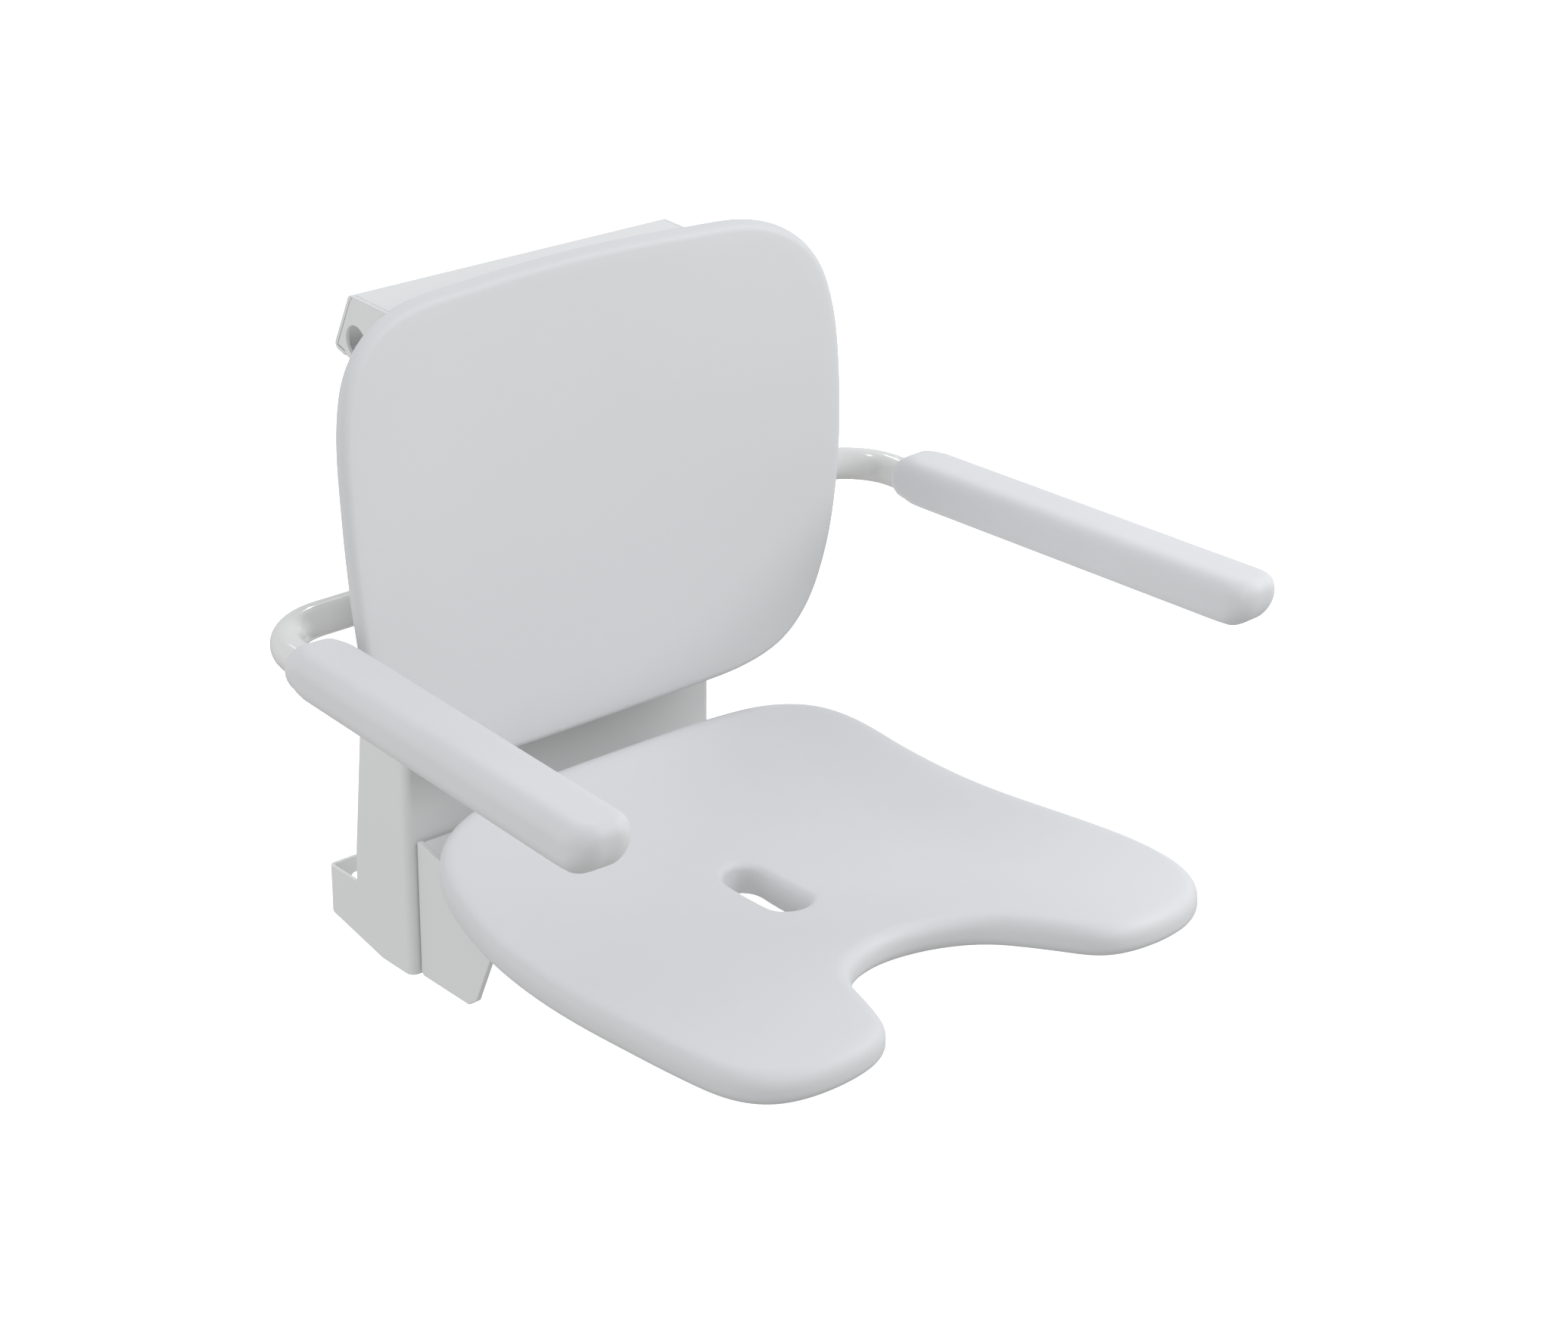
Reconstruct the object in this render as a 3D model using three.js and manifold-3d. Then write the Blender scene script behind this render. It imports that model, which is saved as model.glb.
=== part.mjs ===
// Wall-hung folding shower seat with a backrest and two folding armrests.
// Millimetres, +Z up. The wall is the plane Y = 0, the seat looks along -Y, X = 0 is the plane of symmetry,
// and the origin is the middle of the wall foot's rear face.
import * as THREE from "three";
import { mergeVertices } from "three/addons/utils/BufferGeometryUtils.js";
import Module from "manifold-3d";

const wasm = await Module();
wasm.setup();

// ---- driving dimensions -------------------------------------------------------------------------------
const GAP = 0.3; // between pieces that touch
const FAR = 600; // well outside the object, for the open sides of cutting shapes

const FRAME = { half: 146.5, front: -106.5, sheet: 3, bend: 7, bottom: -34, top: 470 };
const FOOT = { top: 19.5, bottom: -19.5, corner: 5, holeX: 124, holeZ: 1.5, holeR: 4.5 };
const HANGER = { half: 142.9, wall: 3, top: 489.6, bottom: 443.6, flange: 425, boltX: 60, boltZ: 452 };
const HANGER_REAR = { y: -55.6, z: 491.5 }; // top of the slanting rear wall
const HANGER_LIP = { y: -34.3, z: 447.9 }; // where the rear wall turns in to the lip
const HANGER_HOLE = { y: -62.3, z: 457.8, r: 12 };
const GLIDE = { half: 130, thick: 4 };

const BACK = { thick: 10, edge: 5.5, rearEdge: 1.5 };
const BACK_CURVE = { y: -155, z: 320, lean: 0.037, round: 1 / 3000, wrap: 1 / 3160 };
const SPACERS = { x: 70, z: [215, 400], r: 11 };

const SEAT = { thick: 25, edge: 12, lowEdge: 1.5, rim: 225 };
const SLOT = { y: -344, half: 16.5, length: 79, edge: 6 };
const HINGE = { y: -185, z: 91, axleR: 6, boreR: 6.3, tubeR: 11, tubeHalf: 128 };
const HINGE_ENDS = { lugR: 14, washerR: 12.5, capR: 10 };
const HOUSING = { half: 138.3, side: 4.5, sheet: 3, rear: FRAME.front - 1.2, boltX: 100, boltZ: [-15, 45] };
const ROOF = { front: -152, underRear: 75.5, underFront: 66.5 }; // the housing's roof
const CARRIER = { x: 85, sheet: 6, stripHalf: 12, strip: 3, screwsY: [-270, -405] };
const REST = { z: 52.3, front: -214, rear: -198, thick: 6 }; // the carrier's bar that rests on the buffers
const BUFFER = { long: 15.7, high: 14 };
const TIE = { front: -428, rear: -412, bottom: 59, top: 64 }; // the bar between the carrier's front ends

const ARM = { y: -126.2, z: 290.3, r: 12.5, bore: 10.5, bend: 50, splay: THREE.MathUtils.degToRad(2.95) };
const ARM_LINE = { x: 276.8, y: -205.6 }; // a point of the arm's centre line, in plan
const ARM_ENDS = { inner: 52.3, outerY: -505 };
const PLUG = { x0: 48, flange: 4, flangeR: 15.5, length: 20 };
const COLLAR = { x0: 105.5, x1: 113.5, r: 16.5 };
const BEARING = { x0: 55, x1: 105, r: 17, foot: 5, footHalf: 33, boltX: 80, boltZ: 26 };
const PAD = { rear: -186, length: 351.8, halfWidth: 24, halfHeight: 17.9, z: 294.3, edge: 12 };
const PAD_REAR = { top: 17.5, low: 17.4, side: 5 }; // radii of the pad's rounded rear end
const PAD_FRONT = { top: 9, side: 14.8, chin: 19 }; // radii of its front end, and its chin's length

const BOLT = { headR: 6.5, head: 4, shankR: 3, holeR: 3.3, reach: 7 };
const SCREW = { headR: 5.5, head: 3.5, shankR: 2.4, holeR: 2.8, counterR: 7, length: 16 };

// ---- materials ----------------------------------------------------------------------------------------
const finish = (color, roughness, metalness = 0) =>
  new THREE.MeshStandardMaterial({ color, roughness, metalness });
const MATERIALS = {
  coatedSteel: () => finish(0xe6e8e9, 0.45),
  glossyTube: () => finish(0xe9ebe8, 0.15),
  shell: () => finish(0xd9dadd, 0.5),
  pad: () => finish(0xdcdee2, 0.6),
  plastic: () => finish(0xc9ccce, 0.55),
  rubber: () => finish(0x6e7174, 0.85),
  stainless: () => finish(0xb9bcc0, 0.3, 0.9),
};

// ---- solids -------------------------------------------------------------------------------------------
function toSolid(shape) {
  if (!shape.isBufferGeometry) return shape;
  const bare = shape.clone();
  bare.deleteAttribute("normal");
  bare.deleteAttribute("uv");
  const merged = mergeVertices(bare, 1e-4);
  return new wasm.Manifold(
    new wasm.Mesh({
      numProp: 3,
      vertProperties: merged.attributes.position.array,
      triVerts: new Uint32Array(merged.index.array),
    }),
  );
}

function toGeometry(solid) {
  const mesh = solid.getMesh();
  const geometry = new THREE.BufferGeometry();
  geometry.setAttribute("position", new THREE.BufferAttribute(mesh.vertProperties, 3));
  geometry.setIndex(new THREE.BufferAttribute(mesh.triVerts, 1));
  geometry.computeVertexNormals();
  return geometry;
}

const fold = (operation) => (first, ...others) =>
  others.map(toSolid).reduce((sum, next) => sum[operation](next), toSolid(first));
const join = fold("add");
const cut = fold("subtract");
const common = fold("intersect");

// Local x, y, z of a drawn profile go to these world axes.
const AXES = [new THREE.Vector3(1, 0, 0), new THREE.Vector3(0, 1, 0), new THREE.Vector3(0, 0, 1)];
const DRAWN = {
  X: new THREE.Matrix4().makeBasis(AXES[1], AXES[2], AXES[0]),
  Y: new THREE.Matrix4().makeBasis(AXES[2], AXES[0], AXES[1]),
  Z: new THREE.Matrix4(),
};

// A profile extruded along a world axis from one place to another. Profiles are drawn in (Y, Z), (Z, X) or
// (X, Y).
function prism(axis, profile, from, to, curveSegments = 6) {
  const points = () => profile.map(([a, b]) => new THREE.Vector2(a, b));
  const shape = profile instanceof THREE.Shape ? profile : new THREE.Shape(points());
  const depth = to - from;
  const geometry = new THREE.ExtrudeGeometry(shape, { depth, bevelEnabled: false, curveSegments });
  return geometry.translate(0, 0, from).applyMatrix4(DRAWN[axis]);
}

// A profile of [radius, height] points turned about a world axis that passes through (a, b) of the others.
function turned(axis, profile, a, b, segments = 20) {
  const geometry = new THREE.LatheGeometry(profile.map(([r, h]) => new THREE.Vector2(r, h)), segments);
  geometry.rotateX(Math.PI / 2).translate(a, b, 0);
  return geometry.applyMatrix4(DRAWN[axis]);
}

const rod = (axis, r, from, to, a, b, segments = 20) =>
  turned(axis, [[0, from], [r, from], [r, to], [0, to]], a, b, segments);
const ring = (axis, bore, r, from, to, a, b, segments = 20) =>
  turned(axis, [[bore, from], [r, from], [r, to], [bore, to], [bore, from]], a, b, segments);

function box(x0, x1, y0, y1, z0, z1) {
  const geometry = new THREE.BoxGeometry(x1 - x0, y1 - y0, z1 - z0);
  return geometry.translate((x0 + x1) / 2, (y0 + y1) / 2, (z0 + z1) / 2);
}

// A shape with corners rounded by the radius given for each point.
function roundedShape(corners) {
  const path = new THREE.Path();
  const count = corners.length;
  corners.forEach(([x, y, r = 0], i) => {
    const here = new THREE.Vector2(x, y);
    const before = new THREE.Vector2(...corners[(i + count - 1) % count]).sub(here).normalize();
    const after = new THREE.Vector2(...corners[(i + 1) % count]).sub(here).normalize();
    const reach = r / Math.tan(before.angleTo(after) / 2);
    const start = here.clone().addScaledVector(before, reach);
    const end = here.clone().addScaledVector(after, reach);
    if (i === 0) path.moveTo(start.x, start.y);
    else path.lineTo(start.x, start.y);
    if (r > 0) path.quadraticCurveTo(here.x, here.y, end.x, end.y);
  });
  path.closePath();
  return new THREE.Shape(path.getPoints(4));
}

// Faces of the bands between rings of equally many points; the last ring joins the first where closed.
function bandFaces(rings, closed) {
  const count = rings[0].length;
  const bands = closed ? rings.length : rings.length - 1;
  return Array.from({ length: bands }, (_, k) => Array.from({ length: count }, (_, i) => {
    const j = (i + 1) % count;
    const low = k * count;
    const high = ((k + 1) % rings.length) * count;
    return [low + i, low + j, high + j, low + i, high + j, high + i];
  })).flat(2);
}

function meshFrom(points, faces) {
  const geometry = new THREE.BufferGeometry().setFromPoints(points);
  geometry.setIndex(faces);
  if (toSolid(geometry).volume() < 0) {
    const turnedFaces = [];
    for (let i = 0; i < faces.length; i += 3) turnedFaces.push(faces[i], faces[i + 2], faces[i + 1]);
    geometry.setIndex(turnedFaces);
  }
  geometry.computeVertexNormals();
  return geometry;
}

// A skin over rings that closes on its first ring, or ends in a fan at each end.
function loft(rings, closed = false) {
  const points = rings.flat();
  const faces = bandFaces(rings, closed);
  if (!closed) {
    const count = rings[0].length;
    const middle = (set) => set.reduce((sum, p) => sum.add(p), new THREE.Vector3()).divideScalar(count);
    const last = (rings.length - 1) * count;
    points.push(middle(rings[0]), middle(rings.at(-1)));
    for (let i = 0; i < count; i += 1) {
      const j = (i + 1) % count;
      faces.push(points.length - 2, j, i, points.length - 1, last + i, last + j);
    }
  }
  return meshFrom(points, faces);
}

// A skin over rings whose first and last lie level, closed by triangles across those two outlines.
function capped(rings) {
  const flat = (ring) => ring.map(({ x, y }) => new THREE.Vector2(x, y));
  const clockwise = THREE.ShapeUtils.isClockWise(flat(rings[0]));
  const ordered = clockwise ? rings.map((ring) => ring.toReversed()) : rings;
  const cap = (ring) => THREE.ShapeUtils.triangulateShape(flat(ring), []);
  const last = (ordered.length - 1) * ordered[0].length;
  const faces = [
    ...bandFaces(ordered, false),
    ...cap(ordered[0]).flatMap(([a, b, c]) => [a, c, b]),
    ...cap(ordered.at(-1)).flatMap(([a, b, c]) => [last + a, last + b, last + c]),
  ];
  return meshFrom(ordered.flat(), faces);
}

// [inset, drop] along a quarter round, from a face down to its edge.
const quarter = (r, steps) => Array.from({ length: steps + 1 }, (_, k) => {
  const a = (k / steps) * (Math.PI / 2);
  return [r * (1 - Math.sin(a)), r * (1 - Math.cos(a))];
});

// A closed outline from the points of its right half, evenly spaced, with its inward normals.
function symmetricOutline(half, count) {
  const left = half.slice(1, -1).reverse().map(([x, y]) => [-x, y]);
  const points = [...half, ...left].map(([x, y]) => new THREE.Vector3(x, y, 0));
  const curve = new THREE.CatmullRomCurve3(points, true, "centripetal");
  return Array.from({ length: count }, (_, i) => {
    const p = curve.getPointAt(i / count);
    const t = curve.getTangentAt(i / count);
    return { x: p.x, y: p.y, nx: t.y, ny: -t.x };
  });
}

const group = new THREE.Group();
group.name = "shower_seat";

function add(name, material, shape) {
  const mesh = new THREE.Mesh(shape.isBufferGeometry ? shape : toGeometry(shape), MATERIALS[material]());
  mesh.name = name;
  group.add(mesh);
  return mesh;
}

const SIDES = [
  ["left", -1],
  ["right", 1],
];

// x0..x1 measured outwards on one side of the plane of symmetry
const span = (side, x0, x1) => (side > 0 ? [x0, x1] : [-x1, -x0]);

// A pan-head bolt or screw along an axis: its head bears on face, its shank ends at tip.
function fastener(axis, a, b, face, tip, { headR, head, shankR }) {
  const crown = 1;
  const d = Math.sign(tip - face);
  const profile = [
    [0, face - d * head], [headR, face - d * (head - crown)], [headR, face],
    [shankR, face], [shankR, tip], [0, tip],
  ];
  return turned(axis, d > 0 ? profile : profile.toReversed(), a, b, 12);
}

// Clearance holes along Y for bolts at the given (x, z) places.
const boltHoles = (places, from, to) => places.map(([x, z]) => rod("Y", BOLT.holeR, from, to, z, x, 12));

const HOUSING_BOLTS = [-HOUSING.boltX, HOUSING.boltX].flatMap((x) => HOUSING.boltZ.map((z) => [x, z]));
const HANGER_BOLTS = [-HANGER.boltX, HANGER.boltX].map((x) => [x, HANGER.boltZ]);
const SPACER_BOLTS = [-SPACERS.x, SPACERS.x].flatMap((x) => SPACERS.z.map((z) => [x, z]));
const BEARING_BOLTS = SIDES.flatMap(([, s]) =>
  [-1, 1].map((up) => [s * BEARING.boltX, ARM.z + up * BEARING.boltZ]));

// ---- back frame ---------------------------------------------------------------------------------------
// Side view (Y, Z): a flange that widens downwards and ends in a foot on the wall.
const FRAME_SIDE = [
  [0, FOOT.bottom], [0, FOOT.top], [-36, FOOT.top], [-38, 24], [-39.2, 47.4], [-84.9, 454.5],
  [-86.5, FRAME.top], [FRAME.front, FRAME.top], [FRAME.front, FRAME.bottom + 1], [-95, FRAME.bottom],
  [-69, FRAME.bottom],
];

function backFrame() {
  const { half, front, sheet, bend } = FRAME;
  const inner = half - sheet;
  const outline = roundedShape([
    [-half, front, bend], [half, front, bend], [half, 0, FOOT.corner], [-half, 0, FOOT.corner],
  ]);
  const hollow = roundedShape([
    [-inner, front + sheet, bend - sheet], [inner, front + sheet, bend - sheet],
    [inner, FAR, 1], [-inner, FAR, 1],
  ]);
  // the hollow between the flanges is open to the wall above the foot's strap
  const overStrap = FOOT.top + 1;
  const room = [
    [-FAR, -FAR], [-sheet, -FAR], [-sheet, overStrap], [FAR, overStrap], [FAR, FAR], [-FAR, FAR],
  ];
  const bolts = [...HOUSING_BOLTS, ...HANGER_BOLTS, ...SPACER_BOLTS, ...BEARING_BOLTS];
  return cut(
    common(prism("X", FRAME_SIDE, -half, half), prism("Z", outline, -FAR, FAR)),
    common(prism("X", room, -inner, inner), prism("Z", hollow, -FAR, FAR)),
    ...[-FOOT.holeX, FOOT.holeX].map((x) => rod("Y", FOOT.holeR, -sheet - 5, 5, FOOT.holeZ, x, 20)),
    ...boltHoles(bolts, front - 5, front + sheet + 5),
  );
}
add("back_frame", "coatedSteel", backFrame());

// ---- hanger -------------------------------------------------------------------------------------------
// Bent sheet inside the frame's top (Y, Z): front flange, flat top, slanting rear wall and a short lip.
const HANGER_FRONT = FRAME.front + FRAME.sheet + GAP;
const HANGER_INSIDE = HANGER_FRONT + HANGER.wall;
const TOP_FRONT = [HANGER_FRONT, HANGER.top];
const REAR_WALL = [
  [HANGER_REAR.y, HANGER_REAR.z], [HANGER_REAR.y - 2.7, HANGER_REAR.z - 1.3], [-38.7, 449.8], [-49, 446.5],
  [-48.1, HANGER.bottom], [HANGER_LIP.y, HANGER_LIP.z],
];
const CHANNEL = [
  [HANGER_REAR.y - 0.8, HANGER_REAR.z - 0.1], TOP_FRONT, [HANGER_FRONT, HANGER.flange],
  [HANGER_INSIDE, HANGER.flange], [HANGER_INSIDE, HANGER.top - HANGER.wall],
  [HANGER_REAR.y - 0.2, HANGER_REAR.z - HANGER.wall],
];
const END_PLATE = [
  [HANGER_REAR.y - 3.5, HANGER_REAR.z - 0.2], TOP_FRONT, [HANGER_FRONT, FRAME.top + 1],
  [HANGER_INSIDE + 1, FRAME.top + 1], [HANGER_INSIDE + 1, HANGER.bottom], [-49.6, HANGER.bottom],
  [-49.4, 447], [-39.3, 450.2],
];

function addHanger() {
  const plateX = HANGER.half - HANGER.wall;
  const bent = join(
    prism("X", CHANNEL, -plateX + GAP, plateX - GAP),
    prism("X", REAR_WALL, -HANGER.half, HANGER.half),
  );
  const holes = boltHoles(HANGER_BOLTS, HANGER_FRONT - 2, HANGER_INSIDE + 2);
  add("hanger_profile", "coatedSteel", cut(bent, ...holes));
  for (const [name, side] of SIDES) {
    const [x0, x1] = span(side, plateX, HANGER.half);
    const hole = rod("X", HANGER_HOLE.r, x0 - 2, x1 + 2, HANGER_HOLE.y, HANGER_HOLE.z, 32);
    add(`hanger_cap_${name}`, "coatedSteel", cut(prism("X", END_PLATE, x0, x1), hole));
  }
  const boltEnd = HANGER_INSIDE + 3;
  HANGER_BOLTS.forEach(([x, z], i) =>
    add(`hanger_bolt_${i + 1}`, "stainless", fastener("Y", z, x, FRAME.front - GAP, boltEnd, BOLT)));
  // strip under the hanger's top that slides on the rail
  const { half, thick } = GLIDE;
  const top = HANGER_REAR.z - HANGER.wall - 2.5;
  const rear = HANGER_REAR.y - HANGER.wall - 4;
  add("hanger_glide", "plastic", box(-half, half, boltEnd + GAP, rear, top - thick, top));
}
addHanger();

// ---- backrest -----------------------------------------------------------------------------------------
const backFront = (x, z) =>
  BACK_CURVE.y + BACK_CURVE.lean * (z - BACK_CURVE.z) + BACK_CURVE.round * (z - BACK_CURVE.z) ** 2
  - BACK_CURVE.wrap * x ** 2;

const BACK_OUTLINE = [
  [0, 513], [94, 511], [157, 507], [190, 494], [212, 471], [223, 436], [226, 371], [222, 298], [212, 238],
  [196, 195], [174, 170], [141, 157], [84, 152], [0, 150],
];

function backrestShell() {
  const outline = symmetricOutline(BACK_OUTLINE, 68);
  const centreZ = 335; // the caps shrink towards this height
  const at = (inset, depth, shrink = 1) => outline.map(({ x, y, nx, ny }) => {
    const px = (x + nx * inset) * shrink;
    const pz = centreZ + (y + ny * inset - centreZ) * shrink;
    return new THREE.Vector3(px, backFront(px, pz) + depth, pz);
  });
  const shrinks = [0.3, 0.7];
  return loft([
    ...shrinks.map((s) => at(BACK.edge, 0, s)),
    ...quarter(BACK.edge, 3).map(([inset, drop]) => at(inset, drop)),
    ...quarter(BACK.rearEdge, 1).toReversed().map(([inset, drop]) => at(inset, BACK.thick - drop)),
    ...shrinks.toReversed().map((s) => at(BACK.rearEdge, BACK.thick, s)),
  ]);
}
add("backrest_shell", "shell", backrestShell());

SPACER_BOLTS.forEach(([x, z], i) => {
  const { r } = SPACERS;
  const reach = backFront(Math.abs(x) - r, z + Math.sign(z - BACK_CURVE.z) * r) + BACK.thick + GAP;
  add(`backrest_spacer_${i + 1}`, "plastic", ring("Y", BOLT.holeR, r, reach, FRAME.front - GAP, z, x, 16));
  const behind = FRAME.front + FRAME.sheet + GAP;
  add(`backrest_bolt_${i + 1}`, "stainless", fastener("Y", z, x, behind, reach + 3, BOLT));
});

// ---- seat ---------------------------------------------------------------------------------------------
// Dished top: lowest at the drain slot, rising to the rear, the sides and the two front lobes.
function seatTop(x, y) {
  const u = (x / SEAT.rim) ** 2;
  const v = (y - SLOT.y) / SEAT.rim;
  return 89 + 68 * v ** 2 + 37 * v ** 3 + (19 - 21 * v ** 2) * u;
}

const SEAT_OUTLINE = [
  [0, -174], [90, -176], [143, -183], [179, -199], [199, -224], [211, -273], [220, -354], [225, -440],
  [224, -516], [216, -556], [198, -579], [165, -591], [121, -590], [99, -579], [80, -543], [61, -503],
  [34, -480], [0, -471],
];

// A sheet of the seat's thickness that follows the dished top, on a square grid.
function dishedSheet(xHalf, yFrom, yTo, cells) {
  const at = (i, j, drop) => {
    const x = THREE.MathUtils.lerp(-xHalf, xHalf, i / cells);
    const y = THREE.MathUtils.lerp(yFrom, yTo, j / cells);
    return new THREE.Vector3(x, y, seatTop(x, y) - drop);
  };
  const rows = Array.from({ length: cells + 1 }, (_, j) => {
    const across = Array.from({ length: cells + 1 }, (_, i) => i);
    return [...across.map((i) => at(i, j, 0)), ...across.toReversed().map((i) => at(i, j, SEAT.thick))];
  });
  return loft(rows);
}

// A column with the seat's outline whose wall is rounded where it meets the dished top and underside.
function rimColumn() {
  const outline = symmetricOutline(SEAT_OUTLINE, 96);
  const level = (inset, z) =>
    outline.map(({ x, y, nx, ny }) => new THREE.Vector3(x + nx * inset, y + ny * inset, z));
  const under = (inset, drop) => level(inset, 0).map((p) => p.setZ(seatTop(p.x, p.y) - drop));
  return capped([
    level(SEAT.edge, FAR),
    ...quarter(SEAT.edge, 3).map(([inset, drop]) => under(inset, drop)),
    ...quarter(SEAT.lowEdge, 1).toReversed().map(([inset, drop]) => under(inset, SEAT.thick - drop)),
    level(SEAT.lowEdge, 0),
  ]);
}

// The drain slot as a cutter that flares to a rounded mouth.
function slotCutter() {
  const straight = SLOT.length / 2 - SLOT.half;
  const steps = 8;
  const level = (grow, z) => [1, -1].flatMap((end) => Array.from({ length: steps + 1 }, (_, k) => {
    const a = (k / steps) * Math.PI + (end > 0 ? 0 : Math.PI);
    const r = SLOT.half + grow;
    return new THREE.Vector3(r * Math.cos(a), SLOT.y + end * straight + r * Math.sin(a), z);
  }));
  const top = seatTop(0, SLOT.y);
  const { edge } = SLOT;
  return loft([
    level(edge, top + SEAT.edge),
    level(edge, top + 0.5),
    level(0.4 * edge, top - 0.2 * edge),
    level(0, top - edge),
    level(0, top - 2 * SEAT.thick),
  ]);
}

const SEAT_SCREWS = SIDES.flatMap(([name, s]) =>
  CARRIER.screwsY.map((y, i) => ({ name: `${name}_${i + 1}`, x: s * (CARRIER.x + 3), y })));
const stripTop = (y) => seatTop(CARRIER.x - CARRIER.stripHalf, y) - SEAT.thick - 0.5;

add("seat_shell", "shell", cut(
  common(dishedSheet(232, -600, -165, 16), rimColumn()),
  slotCutter(),
  ...SEAT_SCREWS.map(({ x, y }) => rod("Z", SCREW.holeR, stripTop(y) - 6, stripTop(y) + 14, x, y, 12)),
));

// ---- seat carrier: two arms under the seat, welded to the tube that turns on the axle -----------------
function seatCarrier() {
  const ys = [-200, -215, -230, -250, -275, -305, -344, -385, -430];
  const under = ys.map((y) => [y, stripTop(y)]);
  const strip = [...under, ...under.toReversed().map(([y, z]) => [y, z - CARRIER.strip])];
  const web = [
    ...under.map(([y, z]) => [y, z - 1]),
    [-430, 58], [-330, 48], [-240, 50], [-216, REST.z + 2], [-196, REST.z + 2], [-180, HINGE.z - 11],
    [-178, HINGE.z + 8],
  ];
  const arms = SIDES.flatMap(([, s]) => {
    const webX = span(s, CARRIER.x - CARRIER.sheet / 2, CARRIER.x + CARRIER.sheet / 2);
    const stripX = span(s, CARRIER.x - CARRIER.stripHalf, CARRIER.x + CARRIER.stripHalf);
    const lug = rod("X", HINGE_ENDS.lugR, ...webX, HINGE.y, HINGE.z);
    return [prism("X", web, ...webX), prism("X", strip, ...stripX), lug];
  });
  const restHalf = HOUSING.half - HOUSING.side - 3;
  const whole = join(
    rod("X", HINGE.tubeR, -HINGE.tubeHalf, HINGE.tubeHalf, HINGE.y, HINGE.z),
    ...arms,
    box(-restHalf, restHalf, REST.front, REST.rear, REST.z, REST.z + REST.thick),
    box(-CARRIER.x, CARRIER.x, TIE.front, TIE.rear, TIE.bottom, TIE.top),
  );
  return cut(
    whole,
    rod("X", HINGE.boreR, -HINGE.tubeHalf - 2, HINGE.tubeHalf + 2, HINGE.y, HINGE.z),
    ...SEAT_SCREWS.flatMap(({ x, y }) => [
      rod("Z", SCREW.holeR, stripTop(y) - 12, stripTop(y) + 6, x, y, 12),
      rod("Z", SCREW.counterR, stripTop(y) - 60, stripTop(y) - CARRIER.strip - 0.5, x, y, 12),
    ]),
  );
}
add("seat_carrier", "coatedSteel", seatCarrier());
for (const { name, x, y } of SEAT_SCREWS) {
  const face = stripTop(y) - CARRIER.strip - 1.5 - GAP;
  add(`seat_screw_${name}`, "stainless", fastener("Z", x, y, face, face + SCREW.length, SCREW));
}

// ---- hinge housing: a folded bracket on the frame, with lugs that hold the axle -----------------------
// Side view (Y from its rear face, Z).
const HOUSING_SIDE = [
  [0, -34.4], [0, 79], [-26.3, 73.6], [-50, 69], [-63.5, 87], [-91, 88], [-108, 60], [-69.5, -27],
  [-59.5, -34.4],
];

function seatHousing() {
  const { half, side, sheet, rear } = HOUSING;
  const solid = join(
    prism("X", HOUSING_SIDE.map(([y, z]) => [rear + y, z]), -half, half),
    rod("X", HINGE_ENDS.lugR, -half, half, HINGE.y, HINGE.z, 32),
  );
  // between the side plates, below and in front of the roof
  const room = [
    [rear - sheet, -FAR], [rear - sheet, ROOF.underRear], [ROOF.front, ROOF.underFront], [ROOF.front, FAR],
    [-FAR, FAR], [-FAR, -FAR],
  ];
  return cut(
    solid,
    prism("X", room, -half + side, half - side),
    rod("X", HINGE.boreR, -half - 2, half + 2, HINGE.y, HINGE.z),
    ...boltHoles(HOUSING_BOLTS, rear - sheet - 3, rear + 3),
  );
}
add("seat_housing", "coatedSteel", seatHousing());
HOUSING_BOLTS.forEach(([x, z], i) => {
  const face = HOUSING.rear - HOUSING.sheet - GAP;
  add(`housing_bolt_${i + 1}`, "stainless", fastener("Y", z, x, face, FRAME.front + BOLT.reach, BOLT));
});

const AXLE_HALF = HOUSING.half + 3;
add("hinge_axle", "stainless", rod("X", HINGE.axleR, -AXLE_HALF, AXLE_HALF, HINGE.y, HINGE.z));
for (const [name, s] of SIDES) {
  const { boreR } = HINGE;
  const { capR } = HINGE_ENDS;
  const out = HOUSING.half + GAP;
  const cap = [
    [0, out + 5.5], [capR - 2, out + 5.5], [capR, out + 3.5], [capR, out],
    [boreR, out], [boreR, out + 3], [0, out + 3],
  ];
  const profile = s > 0 ? cap.toReversed() : cap.map(([r, x]) => [r, -x]);
  add(`axle_cap_${name}`, "plastic", turned("X", profile, HINGE.y, HINGE.z));
  const wall = HOUSING.half - HOUSING.side - GAP;
  const washerX = span(s, HINGE.tubeHalf + GAP, wall);
  const washer = ring("X", boreR, HINGE_ENDS.washerR, ...washerX, HINGE.y, HINGE.z);
  add(`hinge_washer_${name}`, "plastic", washer);
  const top = REST.z - GAP;
  const bufferX = span(s, wall - BUFFER.long, wall);
  const buffer = box(...bufferX, REST.front, REST.rear + 2, top - BUFFER.high, top);
  add(`rest_buffer_${name}`, "rubber", buffer);
}

// ---- armrests -----------------------------------------------------------------------------------------
const forward = (side) => new THREE.Vector3(side * Math.sin(ARM.splay), -Math.cos(ARM.splay), 0);
const armX = (y) => ARM_LINE.x + Math.tan(ARM.splay) * (ARM_LINE.y - y);

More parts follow.
